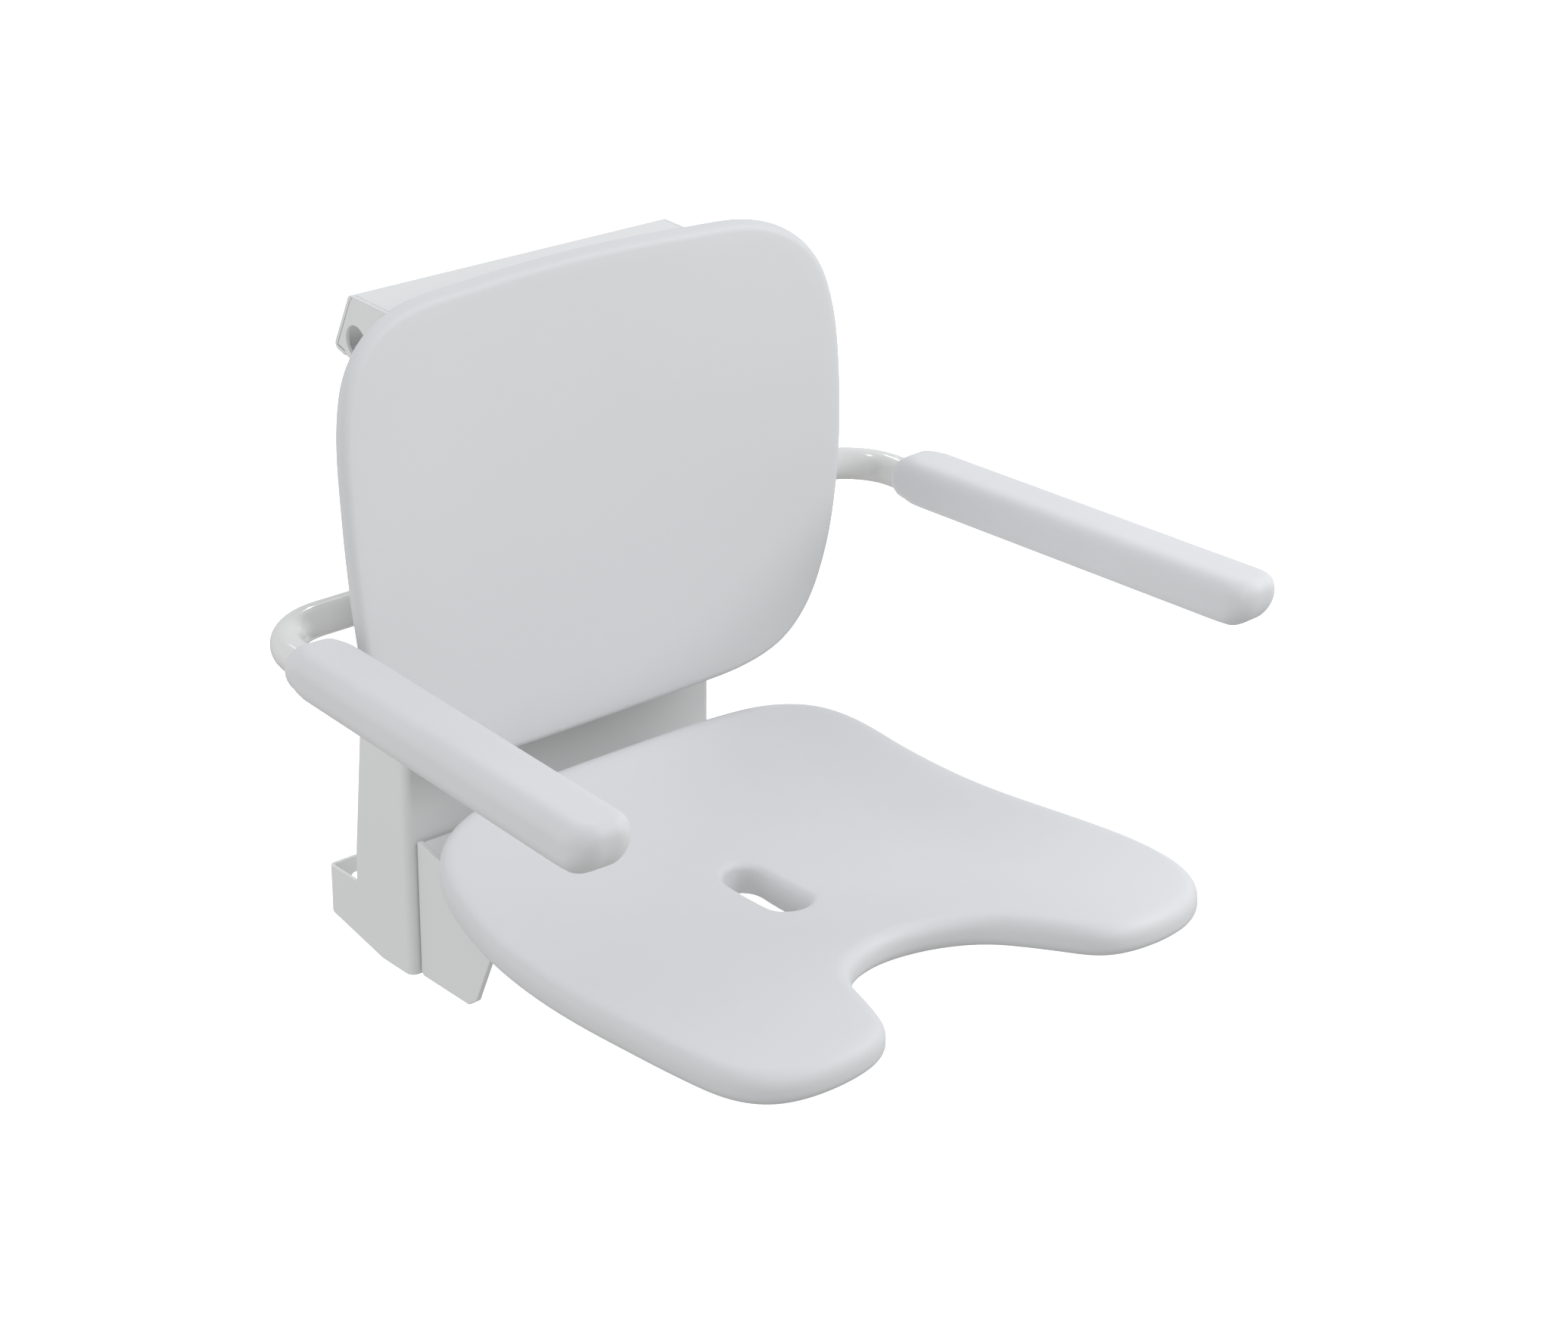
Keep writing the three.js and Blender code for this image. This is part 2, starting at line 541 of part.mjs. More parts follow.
// Centre line: along the pivot axis, round the bend, and forwards with a slight splay.
function armPath(side) {
  const corner = new THREE.Vector3(side * armX(ARM.y), ARM.y, ARM.z);
  const back = new THREE.Vector3(-side, 0, 0);
  const ahead = forward(side);
  const angle = back.angleTo(ahead);
  const centre = back.clone().add(ahead).setLength(ARM.bend / Math.sin(angle / 2)).add(corner);
  const reach = ARM.bend / Math.tan(angle / 2);
  const start = corner.clone().addScaledVector(back, reach);
  const spoke = start.clone().sub(centre);
  const turn = Math.PI - angle;
  const up = new THREE.Vector3(0, 0, 1);
  const steps = 9;
  const points = [{ p: new THREE.Vector3(side * ARM_ENDS.inner, ARM.y, ARM.z), t: back.clone().negate() }];
  for (let k = 0; k <= steps; k += 1) {
    const a = (-side * turn * k) / steps;
    points.push({
      p: spoke.clone().applyAxisAngle(up, a).add(centre),
      t: back.clone().negate().applyAxisAngle(up, a),
    });
  }
  const { outerY } = ARM_ENDS;
  points.push({ p: new THREE.Vector3(side * armX(outerY), outerY, ARM.z), t: ahead.clone() });
  return points;
}

const circleRing = ({ p, t }, r, segments) => Array.from({ length: segments }, (_, i) => {
  const a = (2 * Math.PI * i) / segments;
  const across = new THREE.Vector3(0, 0, 1).cross(t).normalize();
  return p.clone().addScaledVector(across, r * Math.cos(a)).add(new THREE.Vector3(0, 0, r * Math.sin(a)));
});

function armTube(side) {
  const path = armPath(side);
  const skin = (r) => path.map((station) => circleRing(station, r, 16));
  return loft([...skin(ARM.r), ...skin(ARM.bore).toReversed()], true);
}

// How far a rounded end pulls a face in, at a distance from that end.
const rounding = (distance, along, high = along) =>
  (distance < along ? high * (1 - Math.sqrt(1 - (1 - distance / along) ** 2)) : 0);

// Places of the pad's sections: distances from its rear end and from its front end.
const PAD_STATIONS = [
  ...[0.5, 2.5, 6, 11, PAD_REAR.top],
  ...[PAD_FRONT.chin, 12, 7, 3.5, 1.2, 0.3].map((distance) => PAD.length - distance),
];

function padSection(side, distance) {
  const { halfHeight, z } = PAD;
  const y = PAD.rear - distance * Math.cos(ARM.splay);
  const middle = new THREE.Vector3(side * armX(y), y, z);
  const across = new THREE.Vector3(0, 0, 1).cross(forward(side)).normalize();
  const ahead = PAD.length - distance;
  const half = PAD.halfWidth - rounding(distance, PAD_REAR.side) - rounding(ahead, PAD_FRONT.side);
  const top = halfHeight - rounding(distance, PAD_REAR.top) - rounding(ahead, PAD_FRONT.top);
  const chin = rounding(ahead, PAD_FRONT.chin, 2 * halfHeight - PAD_FRONT.top);
  const bottom = -halfHeight + rounding(distance, PAD_REAR.low) + chin;
  const radius = Math.min(PAD.edge, (top - bottom) / 2, half) * 0.98;
  const corners = [[1, 1], [-1, 1], [-1, -1], [1, -1]];
  const steps = 5;
  return corners.flatMap(([sx, sz], quarterTurn) => Array.from({ length: steps + 1 }, (_, k) => {
    const a = (quarterTurn + k / steps) * (Math.PI / 2);
    const dx = sx * (half - radius) + radius * Math.cos(a);
    const dz = (sz > 0 ? top - radius : bottom + radius) + radius * Math.sin(a);
    return middle.clone().addScaledVector(across, dx).add(new THREE.Vector3(0, 0, dz));
  }));
}

function armPad(side) {
  const [bendEnd, tip] = armPath(side).slice(-2);
  const mouth = { p: tip.p.clone().addScaledVector(tip.t, 2), t: tip.t };
  const bore = [bendEnd, mouth].map((station) => circleRing(station, ARM.r + GAP, 16));
  return cut(loft(PAD_STATIONS.map((distance) => padSection(side, distance))), loft(bore));
}

// Bearing block on the frame (Y, Z): a saddle round the tube with a bolted foot above and below.
function armBearing(side) {
  const { r, footHalf, foot } = BEARING;
  const face = FRAME.front - GAP;
  const x = span(side, BEARING.x0, BEARING.x1);
  return cut(
    join(
      box(...x, face - foot, face, ARM.z - footHalf, ARM.z + footHalf),
      box(...x, ARM.y, face - 1, ARM.z - r, ARM.z + r),
      rod("X", r, ...x, ARM.y, ARM.z, 32),
    ),
    rod("X", ARM.r + GAP, x[0] - 2, x[1] + 2, ARM.y, ARM.z, 32),
    ...boltHoles(BEARING_BOLTS.filter(([boltX]) => boltX * side > 0), face - foot - 4, face + 3),
  );
}

// Plug with a flange that keeps the tube in its bearing.
function armPlug(side) {
  const { x0, flange, flangeR, length } = PLUG;
  const r = ARM.bore - GAP;
  const plug = [
    [0, x0], [flangeR, x0], [flangeR, x0 + flange], [r, x0 + flange], [r, x0 + length], [0, x0 + length],
  ];
  const profile = side > 0 ? plug : plug.toReversed().map(([reach, x]) => [reach, -x]);
  return turned("X", profile, ARM.y, ARM.z);
}

// Collar with a lug that meets the stop on the frame when the arm is level.
function armCollar(side) {
  const x = span(side, COLLAR.x0, COLLAR.x1);
  const lug = box(...x, ARM.y - 4.8, ARM.y + 5, ARM.z - 20, ARM.z - 14);
  return join(ring("X", ARM.r + GAP, COLLAR.r, ...x, ARM.y, ARM.z, 32), lug);
}

function armStop(side) {
  const x = span(side, COLLAR.x0, COLLAR.x1);
  return box(...x, ARM.y + 5 + GAP, FRAME.front - GAP, ARM.z - 24, ARM.z - 18);
}

for (const [name, side] of SIDES) {
  add(`arm_bearing_${name}`, "plastic", armBearing(side));
  add(`arm_tube_${name}`, "glossyTube", armTube(side));
  add(`arm_pad_${name}`, "pad", armPad(side));
  add(`arm_plug_${name}`, "plastic", armPlug(side));
  add(`arm_collar_${name}`, "coatedSteel", armCollar(side));
  add(`arm_stop_${name}`, "coatedSteel", armStop(side));
}
BEARING_BOLTS.forEach(([x, z], i) => {
  const face = FRAME.front - GAP - BEARING.foot - GAP;
  add(`bearing_bolt_${i + 1}`, "stainless", fastener("Y", z, x, face, FRAME.front + BOLT.reach, BOLT));
});

export default group;
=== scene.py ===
"""The looks of a wall-hung folding shower seat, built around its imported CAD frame.

Metres, +Z up, the wall is the plane Y = 0 and the sitter faces -Y. Sizes below are in millimetres and are
turned into metres by MM.
"""

from math import cos, hypot, pi, radians, sin, sqrt, tan

import bmesh
import bpy
import numpy as np
from mathutils import Matrix, Quaternion, Vector
from mathutils.geometry import delaunay_2d_cdt


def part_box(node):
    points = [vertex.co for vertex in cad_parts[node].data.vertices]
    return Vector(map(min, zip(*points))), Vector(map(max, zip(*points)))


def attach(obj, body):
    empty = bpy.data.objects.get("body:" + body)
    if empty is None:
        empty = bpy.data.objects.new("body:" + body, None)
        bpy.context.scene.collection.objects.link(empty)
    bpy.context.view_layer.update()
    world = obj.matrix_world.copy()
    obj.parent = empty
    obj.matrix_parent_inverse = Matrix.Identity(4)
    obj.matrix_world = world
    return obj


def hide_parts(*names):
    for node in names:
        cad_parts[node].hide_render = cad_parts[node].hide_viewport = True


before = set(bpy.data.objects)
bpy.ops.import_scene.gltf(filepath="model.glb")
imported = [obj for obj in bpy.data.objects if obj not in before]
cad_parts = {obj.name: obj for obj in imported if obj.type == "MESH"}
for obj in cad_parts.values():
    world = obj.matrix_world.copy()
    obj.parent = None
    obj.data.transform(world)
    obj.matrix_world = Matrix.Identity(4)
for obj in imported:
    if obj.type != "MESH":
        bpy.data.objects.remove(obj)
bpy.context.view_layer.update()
MM = 0.001


# ---- camera, light and floor ---------------------------------------------------------------------
CAMERA_AT = Vector((-1.4605, -2.0244, 1.2807))
CAMERA_YAW, CAMERA_PITCH, CAMERA_ROLL = 41.28, 24.60, 0.64  # degrees: right of +Y, down, anticlockwise
CAMERA_LENS = 80.62
FLOOR_Z, FLOOR_HALF = -1.25, 60.0
FLOOR_TONE, FLOOR_DARK, FLOOR_LIGHT = (0.97, 0.97, 0.97), (0.96, 0.96, 0.96), (0.98, 0.98, 0.98)
SKY_BELOW, SKY_LEVEL, SKY_TOP = (0.32, 0.32, 0.315), (0.64, 0.64, 0.64), (0.67, 0.69, 0.72)


def make_camera():
    data = bpy.data.cameras.new("camera")
    data.sensor_width = 36
    data.lens = CAMERA_LENS
    camera = bpy.data.objects.new("camera", data)
    camera.location = CAMERA_AT
    yaw = Matrix.Rotation(-radians(CAMERA_YAW), 3, "Z")
    pitch = Matrix.Rotation(radians(90 - CAMERA_PITCH), 3, "X")
    roll = Matrix.Rotation(radians(CAMERA_ROLL), 3, "Z")
    camera.rotation_euler = (yaw @ pitch @ roll).to_euler()
    bpy.context.scene.collection.objects.link(camera)
    bpy.context.scene.camera = camera


def area_light(name, at, target, size, power, color=(1, 1, 1), in_gloss=True, in_matt=True):
    data = bpy.data.lights.new(name, "AREA")
    data.shape = "DISK"
    data.size = size
    data.energy = power
    data.color = color
    light = bpy.data.objects.new(name, data)
    light.location = at
    light.rotation_euler = (Vector(target) - Vector(at)).to_track_quat("-Z", "Y").to_euler()
    light.visible_glossy = in_gloss
    light.visible_diffuse = in_matt
    bpy.context.scene.collection.objects.link(light)


def make_stage():
    world = bpy.data.worlds.new("studio")
    bpy.context.scene.world = world
    world.use_nodes = True
    nodes, links = world.node_tree.nodes, world.node_tree.links
    where = nodes.new("ShaderNodeTexCoord")
    split = nodes.new("ShaderNodeSeparateXYZ")
    height = nodes.new("ShaderNodeMapRange")
    height.inputs["From Min"].default_value = -1
    sky = nodes.new("ShaderNodeValToRGB")
    sky.color_ramp.elements[0].color = (*SKY_BELOW, 1)
    sky.color_ramp.elements[1].color = (*SKY_TOP, 1)
    middle = sky.color_ramp.elements.new(0.5)
    middle.color = (*SKY_LEVEL, 1)
    links.new(where.outputs["Generated"], split.inputs["Vector"])
    links.new(split.outputs["Z"], height.inputs["Value"])
    links.new(height.outputs["Result"], sky.inputs["Fac"])
    links.new(sky.outputs["Color"], nodes["Background"].inputs["Color"])

    mesh = bpy.data.meshes.new("floor")
    signs = ((-1, -1), (1, -1), (1, 1), (-1, 1))
    corners = [(i * FLOOR_HALF, j * FLOOR_HALF, FLOOR_Z) for i, j in signs]
    mesh.from_pydata(corners, [], [(0, 1, 2, 3)])
    floor = bpy.data.objects.new("floor", mesh)
    bpy.context.scene.collection.objects.link(floor)
    floor.visible_diffuse = False
    floor.visible_glossy = False
    mat, nodes, links, shader = new_material("floor_paint", FLOOR_TONE, 0.9)
    noise = nodes.new("ShaderNodeTexNoise")
    noise.inputs["Scale"].default_value = 3
    tint(nodes, links, shader, noise.outputs["Fac"], FLOOR_DARK, FLOOR_LIGHT)
    mesh.materials.append(mat)

    seat = Vector((0, -0.3, 0.2))
    area_light("key_soft", (1.5, -1.7, 1.7), seat, 1.4, 22.5, (0.985, 1, 1.015))
    area_light("fill_left", (-2.4, 0.3, 0.9), seat, 1.2, 9.8, in_gloss=False)
    area_light("fill_front", (0.2, -2.3, 0.35), seat, 1.4, 1.2, in_gloss=False)
    area_light("fill_rear", (0.25, 0.9, -0.6), (0, -0.05, 0.45), 0.9, 7, in_gloss=False)
    area_light("floor_wash", (4.2, 4.0, 3.2), (5.2, 5.0, FLOOR_Z), 4.0, 420, in_gloss=False)
    area_light("glint_back", (-0.3, 1.7, 1.9), seat, 0.12, 3.0, in_matt=False)
    area_light("glint_top", (0.1, 0.6, 2.4), seat, 0.12, 3.0, in_matt=False)
    area_light("glint_rear", (1.1, 1.3, 1.8), seat, 0.1, 1.0, in_matt=False)

    settings = bpy.context.scene.view_settings
    settings.view_transform = "Standard"
    settings.look = "None"
    settings.exposure = 0
    settings.gamma = 1


# ---- materials -----------------------------------------------------------------------------------
def new_material(name, color, roughness, metallic=0.0):
    mat = bpy.data.materials.new(name)
    mat.use_nodes = True
    nodes, links = mat.node_tree.nodes, mat.node_tree.links
    shader = nodes["Principled BSDF"]
    shader.inputs["Base Color"].default_value = (*color, 1)
    shader.inputs["Roughness"].default_value = roughness
    shader.inputs["Metallic"].default_value = metallic
    return mat, nodes, links, shader


def tint(nodes, links, shader, factor, low, high):
    """Base colour that runs from low to high with factor."""
    ramp = nodes.new("ShaderNodeValToRGB")
    ramp.color_ramp.elements[0].position = 0.3
    ramp.color_ramp.elements[1].position = 0.7
    ramp.color_ramp.elements[0].color = (*low, 1)
    ramp.color_ramp.elements[1].color = (*high, 1)
    links.new(factor, ramp.inputs["Fac"])
    links.new(ramp.outputs["Color"], shader.inputs["Base Color"])


def vary_roughness(nodes, links, shader, factor, low, high):
    span = nodes.new("ShaderNodeMapRange")
    span.inputs["To Min"].default_value = low
    span.inputs["To Max"].default_value = high
    links.new(factor, span.inputs["Value"])
    links.new(span.outputs["Result"], shader.inputs["Roughness"])


def object_noise(nodes, links, scale, detail=2.0, roughness=0.5, stretch=(1, 1, 1)):
    where = nodes.new("ShaderNodeTexCoord")
    mapping = nodes.new("ShaderNodeMapping")
    mapping.inputs["Scale"].default_value = stretch
    noise = nodes.new("ShaderNodeTexNoise")
    noise.inputs["Scale"].default_value = scale
    noise.inputs["Detail"].default_value = detail
    noise.inputs["Roughness"].default_value = roughness
    links.new(where.outputs["Object"], mapping.inputs["Vector"])
    links.new(mapping.outputs["Vector"], noise.inputs["Vector"])
    return noise.outputs["Fac"]


def bump(nodes, links, shader, heights):
    """heights: (factor socket, strength, distance in metres), stacked from the coarsest to the finest."""
    normal = None
    for factor, strength, distance in heights:
        node = nodes.new("ShaderNodeBump")
        node.inputs["Strength"].default_value = strength
        node.inputs["Distance"].default_value = distance
        links.new(factor, node.inputs["Height"])
        if normal is not None:
            links.new(normal, node.inputs["Normal"])
        normal = node.outputs["Normal"]
    links.new(normal, shader.inputs["Normal"])


def shade_of(color, factor):
    return tuple(min(1.0, c * factor) for c in color)


def moulded_plastic(name, color, roughness, grain=900, spread=0.012, relief=0.00005):
    """Injection-moulded plastic: eroded fine grain, slow colour drift and a slightly uneven sheen."""
    mat, nodes, links, shader = new_material(name, color, roughness)
    slow = object_noise(nodes, links, 5, 1)
    fine = object_noise(nodes, links, grain, 3, 0.6)
    cells = nodes.new("ShaderNodeTexVoronoi")
    cells.inputs["Scale"].default_value = grain * 0.8
    where = nodes.new("ShaderNodeTexCoord")
    links.new(where.outputs["Object"], cells.inputs["Vector"])
    tint(nodes, links, shader, slow, shade_of(color, 1 - spread), shade_of(color, 1 + spread))
    vary_roughness(nodes, links, shader, fine, roughness - 0.04, roughness + 0.05)
    bump(nodes, links, shader, [(cells.outputs["Distance"], 0.12, relief), (fine, 0.18, relief)])
    return mat


def coated_metal(name, color, roughness, peel=420, relief=0.00004, coat=0.0):
    """Paint on metal with a faint orange peel."""
    mat, nodes, links, shader = new_material(name, color, roughness)
    slow = object_noise(nodes, links, 6, 1)
    waves = object_noise(nodes, links, peel, 1, 0.4)
    tint(nodes, links, shader, slow, shade_of(color, 0.988), shade_of(color, 1.012))
    vary_roughness(nodes, links, shader, waves, roughness - 0.03, roughness + 0.03)
    bump(nodes, links, shader, [(waves, 0.16, relief)])
    if coat:
        shader.inputs["Coat Weight"].default_value = coat
        shader.inputs["Coat Roughness"].default_value = 0.04
    return mat


def foam_skin(name, color):
    """Soft self-skinned foam: leather-like wrinkled grain and a touch of sheen."""
    mat, nodes, links, shader = new_material(name, color, 0.6)
    where = nodes.new("ShaderNodeTexCoord")
    cells = nodes.new("ShaderNodeTexVoronoi")
    cells.feature = "DISTANCE_TO_EDGE"
    cells.inputs["Scale"].default_value = 620
    links.new(where.outputs["Object"], cells.inputs["Vector"])
    slow = object_noise(nodes, links, 9, 2)
    fine = object_noise(nodes, links, 1100, 2, 0.6)
    tint(nodes, links, shader, slow, shade_of(color, 0.985), shade_of(color, 1.015))
    vary_roughness(nodes, links, shader, fine, 0.55, 0.68)
    bump(nodes, links, shader, [(cells.outputs["Distance"], 0.15, 0.00008), (fine, 0.12, 0.00004)])
    shader.inputs["Sheen Weight"].default_value = 0.08
    return mat


def brushed_steel(name, color):
    mat, nodes, links, shader = new_material(name, color, 0.32, 1.0)
    lines = object_noise(nodes, links, 160, 3, 0.6, (1, 14, 14))
    slow = object_noise(nodes, links, 30, 2)
    tint(nodes, links, shader, slow, shade_of(color, 0.94), shade_of(color, 1.04))
    vary_roughness(nodes, links, shader, lines, 0.24, 0.42)
    bump(nodes, links, shader, [(lines, 0.12, 0.00003)])
    return mat


def rubber(name, color):
    mat, nodes, links, shader = new_material(name, color, 0.8)
    slow = object_noise(nodes, links, 60, 2)
    fine = object_noise(nodes, links, 1500, 2)
    tint(nodes, links, shader, slow, shade_of(color, 0.9), shade_of(color, 1.1))
    vary_roughness(nodes, links, shader, slow, 0.72, 0.9)
    bump(nodes, links, shader, [(fine, 0.3, 0.00005)])
    return mat


MATERIALS = {
    "frame_coat": coated_metal("frame_powder_coat", (0.81, 0.815, 0.81), 0.42),
    "hinge_coat": coated_metal("hinge_powder_coat", (0.81, 0.815, 0.81), 0.42, peel=500),
    "shell": moulded_plastic("shell_plastic", (0.735, 0.738, 0.744), 0.5),
    "arm_gloss": coated_metal(
        "tube_gloss_paint", (0.80, 0.805, 0.785), 0.16, peel=90, relief=0.000004, coat=0.6,
    ),
    "arm_pad": foam_skin("pad_foam_skin", (0.752, 0.753, 0.761)),
    "grey_plastic": moulded_plastic("fitting_plastic", (0.55, 0.56, 0.57), 0.5, grain=1300),
    "buffer_rubber": rubber("buffer_rubber", (0.06, 0.062, 0.065)),
    "fastener": brushed_steel("stainless_steel", (0.62, 0.62, 0.63)),
}


# ---- outlines and meshes -------------------------------------------------------------------------
def smooth_closed(points, count):
    """A smooth closed curve through the points: centripetal Catmull-Rom, evenly spaced and gently faired."""
    p = np.array(points, float)
    n = len(p)
    dense = []
    for i in range(n):
        a, b, c, d = p[i - 1], p[i], p[(i + 1) % n], p[(i + 2) % n]
        t0 = 0.0
        t1 = t0 + sqrt(np.linalg.norm(b - a))
        t2 = t1 + sqrt(np.linalg.norm(c - b))
        t3 = t2 + sqrt(np.linalg.norm(d - c))
        for t in np.linspace(t1, t2, 40, endpoint=False):
            ab = a * (t1 - t) / (t1 - t0) + b * (t - t0) / (t1 - t0)
            bc = b * (t2 - t) / (t2 - t1) + c * (t - t1) / (t2 - t1)
            cd = c * (t3 - t) / (t3 - t2) + d * (t - t2) / (t3 - t2)
            abc = ab * (t2 - t) / (t2 - t0) + bc * (t - t0) / (t2 - t0)
            bcd = bc * (t3 - t) / (t3 - t1) + cd * (t - t1) / (t3 - t1)
            dense.append(abc * (t2 - t) / (t2 - t1) + bcd * (t - t1) / (t2 - t1))
    even = evenly(np.array(dense), count)
    reach = max(2, round(count / 60))
    kernel = np.hanning(2 * reach + 3)[1:-1]
    kernel /= kernel.sum()

    def blur(q):
        wrapped = np.concatenate([q[-reach:], q, q[:reach]])
        return np.stack([np.convolve(wrapped[:, k], kernel, "valid") for k in range(2)], axis=1)

    return blur(2 * even - blur(even))


def evenly(points, count):
    closed = np.concatenate([points, points[:1]])
    along = np.concatenate([[0], np.cumsum(np.linalg.norm(np.diff(closed, axis=0), axis=1))])
    at = np.linspace(0, along[-1], count, endpoint=False)
    return np.stack([np.interp(at, along, closed[:, k]) for k in range(2)], axis=1)


def mirrored(half):
    """A closed outline from the points of its right half, first and last on the line of symmetry."""
    return [*half, *[(-x, y) for x, y in half[-2:0:-1]]]


def filleted(corners, step=pi / 16):
    """A polygon with rounded corners: each corner is (a, b, radius)."""
    points = []
    n = len(corners)
    for i in range(n):
        a, b, r = corners[i]
        here = Vector((a, b))
        back = (Vector(corners[i - 1][:2]) - here).normalized()
        ahead = (Vector(corners[(i + 1) % n][:2]) - here).normalized()
        angle = back.angle(ahead)
        if r <= 0 or angle > pi - 1e-3:
            points.append((a, b))
            continue
        reach = r / tan(angle / 2)
        centre = here + (back + ahead).normalized() * (r / sin(angle / 2))
        start, end = here + back * reach - centre, here + ahead * reach - centre
        sweep = start.angle_signed(end)
        steps = max(2, round(abs(sweep) / step))
        for k in range(steps + 1):
            spoke = Vector(start)
            spoke.rotate(Matrix.Rotation(-sweep * k / steps, 2))
            points.append(tuple(centre + spoke))
    return np.array(points)


def circle(a, b, r, count=32):
    angles = [2 * pi * k / count for k in range(count)]
    return np.array([(a + r * cos(t), b + r * sin(t)) for t in angles])


def capsule(b, half_width, length, count=24):
    """A slot along the second axis, centred on (0, b)."""
    straight = length / 2 - half_width
    points = []
    for end in (1, -1):
        for k in range(count + 1):
            a = pi * k / count + (0 if end > 0 else pi)
            points.append((half_width * cos(a), b + end * straight + half_width * sin(a)))
    steps = 12
    left = [(-half_width, b + straight - 2 * straight * k / steps) for k in range(1, steps)]
    right = [(half_width, b - straight + 2 * straight * k / steps) for k in range(1, steps)]
    return np.array([*points[: count + 1], *left, *points[count + 1 :], *right])


def signed_area(loop):
    x, y = loop[:, 0], loop[:, 1]
    return 0.5 * float(np.sum(x * np.roll(y, -1) - np.roll(x, -1) * y))


def into_material(loop, hole):
    """Unit normals in the plane, pointing into the plate."""
    ccw = signed_area(loop) > 0
    before, after = loop - np.roll(loop, 1, axis=0), np.roll(loop, -1, axis=0) - loop
    normals = []
    for u, v in zip(before, after):
        nu = np.array([-u[1], u[0]]) / max(hypot(*u), 1e-12)
        nv = np.array([-v[1], v[0]]) / max(hypot(*v), 1e-12)
        m = nu + nv
        m /= max(np.linalg.norm(m), 1e-9)
        normals.append(m / max(0.5, float(m @ nu)))
    normals = np.array(normals)
    return normals if ccw != hole else -normals


def inside(loop, points):
    x, y = points[:, 0], points[:, 1]
    result = np.zeros(len(points), bool)
    for (x0, y0), (x1, y1) in zip(loop, np.roll(loop, -1, axis=0)):
        crosses = (y0 > y) != (y1 > y)
        with np.errstate(divide="ignore", invalid="ignore"):
            at = (x1 - x0) * (y - y0) / (y1 - y0) + x0
        result ^= crosses & (x < at)
    return result


def fill(loops, grid, folds):
    """Triangles over the area inside the first loop and outside the others. Points of the loops come
    first and are kept. folds are places along the first axis where the plate bends, so that no triangle
    crosses them."""
    points = [tuple(p) for loop in loops for p in loop]
    edges, start = [], 0
    for loop in loops:
        n = len(loop)
        edges += [(start + i, start + (i + 1) % n) for i in range(n)]
        start += n
    outer = loops[0]
    for a in folds:
        at = [i for i in range(len(outer)) if abs(outer[i][0] - a) < 0.25]
        if len(at) >= 2:
            at.sort(key=lambda i: outer[i][1])
            edges.append((at[0], at[-1]))
    if grid:
        lo, hi = outer.min(0), outer.max(0)
        rows = max(1, int((hi[1] - lo[1]) / (grid * 0.866)))
        cells = []
        for j in range(1, rows):
            y = lo[1] + (hi[1] - lo[1]) * j / rows
            cells += [(x, y) for x in np.arange(lo[0] + (grid / 2 if j % 2 else 0), hi[0], grid)]
        cells = np.array(cells)
        keep = inside(outer, cells)
        for loop in loops[1:]:
            keep &= ~inside(loop, cells)
        cells = cells[keep]
        rim = np.concatenate(loops)
        gap = np.min(np.linalg.norm(cells[:, None, :] - rim[None, :, :], axis=2), axis=1)
        points += [tuple(c) for c in cells[gap > grid * 0.6]]
    out = delaunay_2d_cdt([Vector(p) for p in points], edges, [], 0, 1e-7)
    if len(out[0]) != len(points):
        raise ValueError(f"the filled outline crosses itself: {len(out[0])} points from {len(points)}")
    back = {new: old[0] for new, old in enumerate(out[3])}
    faces = [tuple(back[v] for v in face) for face in out[2]]
    middles = np.array([np.mean([points[v] for v in face], axis=0) for face in faces])
    keep = inside(outer, middles)
    for loop in loops[1:]:
        keep &= ~inside(loop, middles)
    return points, [f for f, k in zip(faces, keep) if k]


def quarter(r, steps):
    """(inset, drop) along a quarter round, from the face down to the edge."""
    if r <= 0:
        return [(0.0, 0.0)]
    return [(r * (1 - sin(a)), r * (1 - cos(a))) for a in np.linspace(0, pi / 2, steps + 1)]


def panel(outline, place, thick, edge, low_edge, holes=(), grid=None, folds=(), steps=4):
    """Vertices and faces of a closed plate over a flat outline. place(a, b, depth) puts a point in space,
    depth from the face. holes are (loop, edge, low_edge); edges are rounded by those radii, in steps."""
    loops = [(np.array(outline, float), False, edge, low_edge)]
    loops += [(np.array(loop, float), True, e, low) for loop, e, low in holes]
    verts, faces, tops, bottoms = [], [], [], []
    for loop, hole, e, low in loops:
        normals = into_material(loop, hole)
        levels = quarter(e, steps)
        levels += [(i, thick - d) for i, d in reversed(quarter(low, steps))]
        n, first = len(loop), len(verts)
        for inset, depth in levels:
            ring = loop + normals * inset
            verts += [place(a, b, depth) for a, b in ring]
        for k in range(len(levels) - 1):
            for i in range(n):
                j = (i + 1) % n
                low_ring, high_ring = first + k * n, first + (k + 1) * n
                faces.append((low_ring + i, low_ring + j, high_ring + j, high_ring + i))
        tops.append((loop + normals * levels[0][0], first))
        bottoms.append((loop + normals * levels[-1][0], first + (len(levels) - 1) * n))
    for rings, depth in ((tops, 0.0), (bottoms, thick)):
        points, triangles = fill([r for r, _ in rings], grid, folds)
        index = [start + i for ring, start in rings for i in range(len(ring))]
        for a, b in points[len(index) :]:
            index.append(len(verts))
            verts.append(place(a, b, depth))
        faces += [tuple(index[v] for v in t) for t in triangles]
    return verts, faces


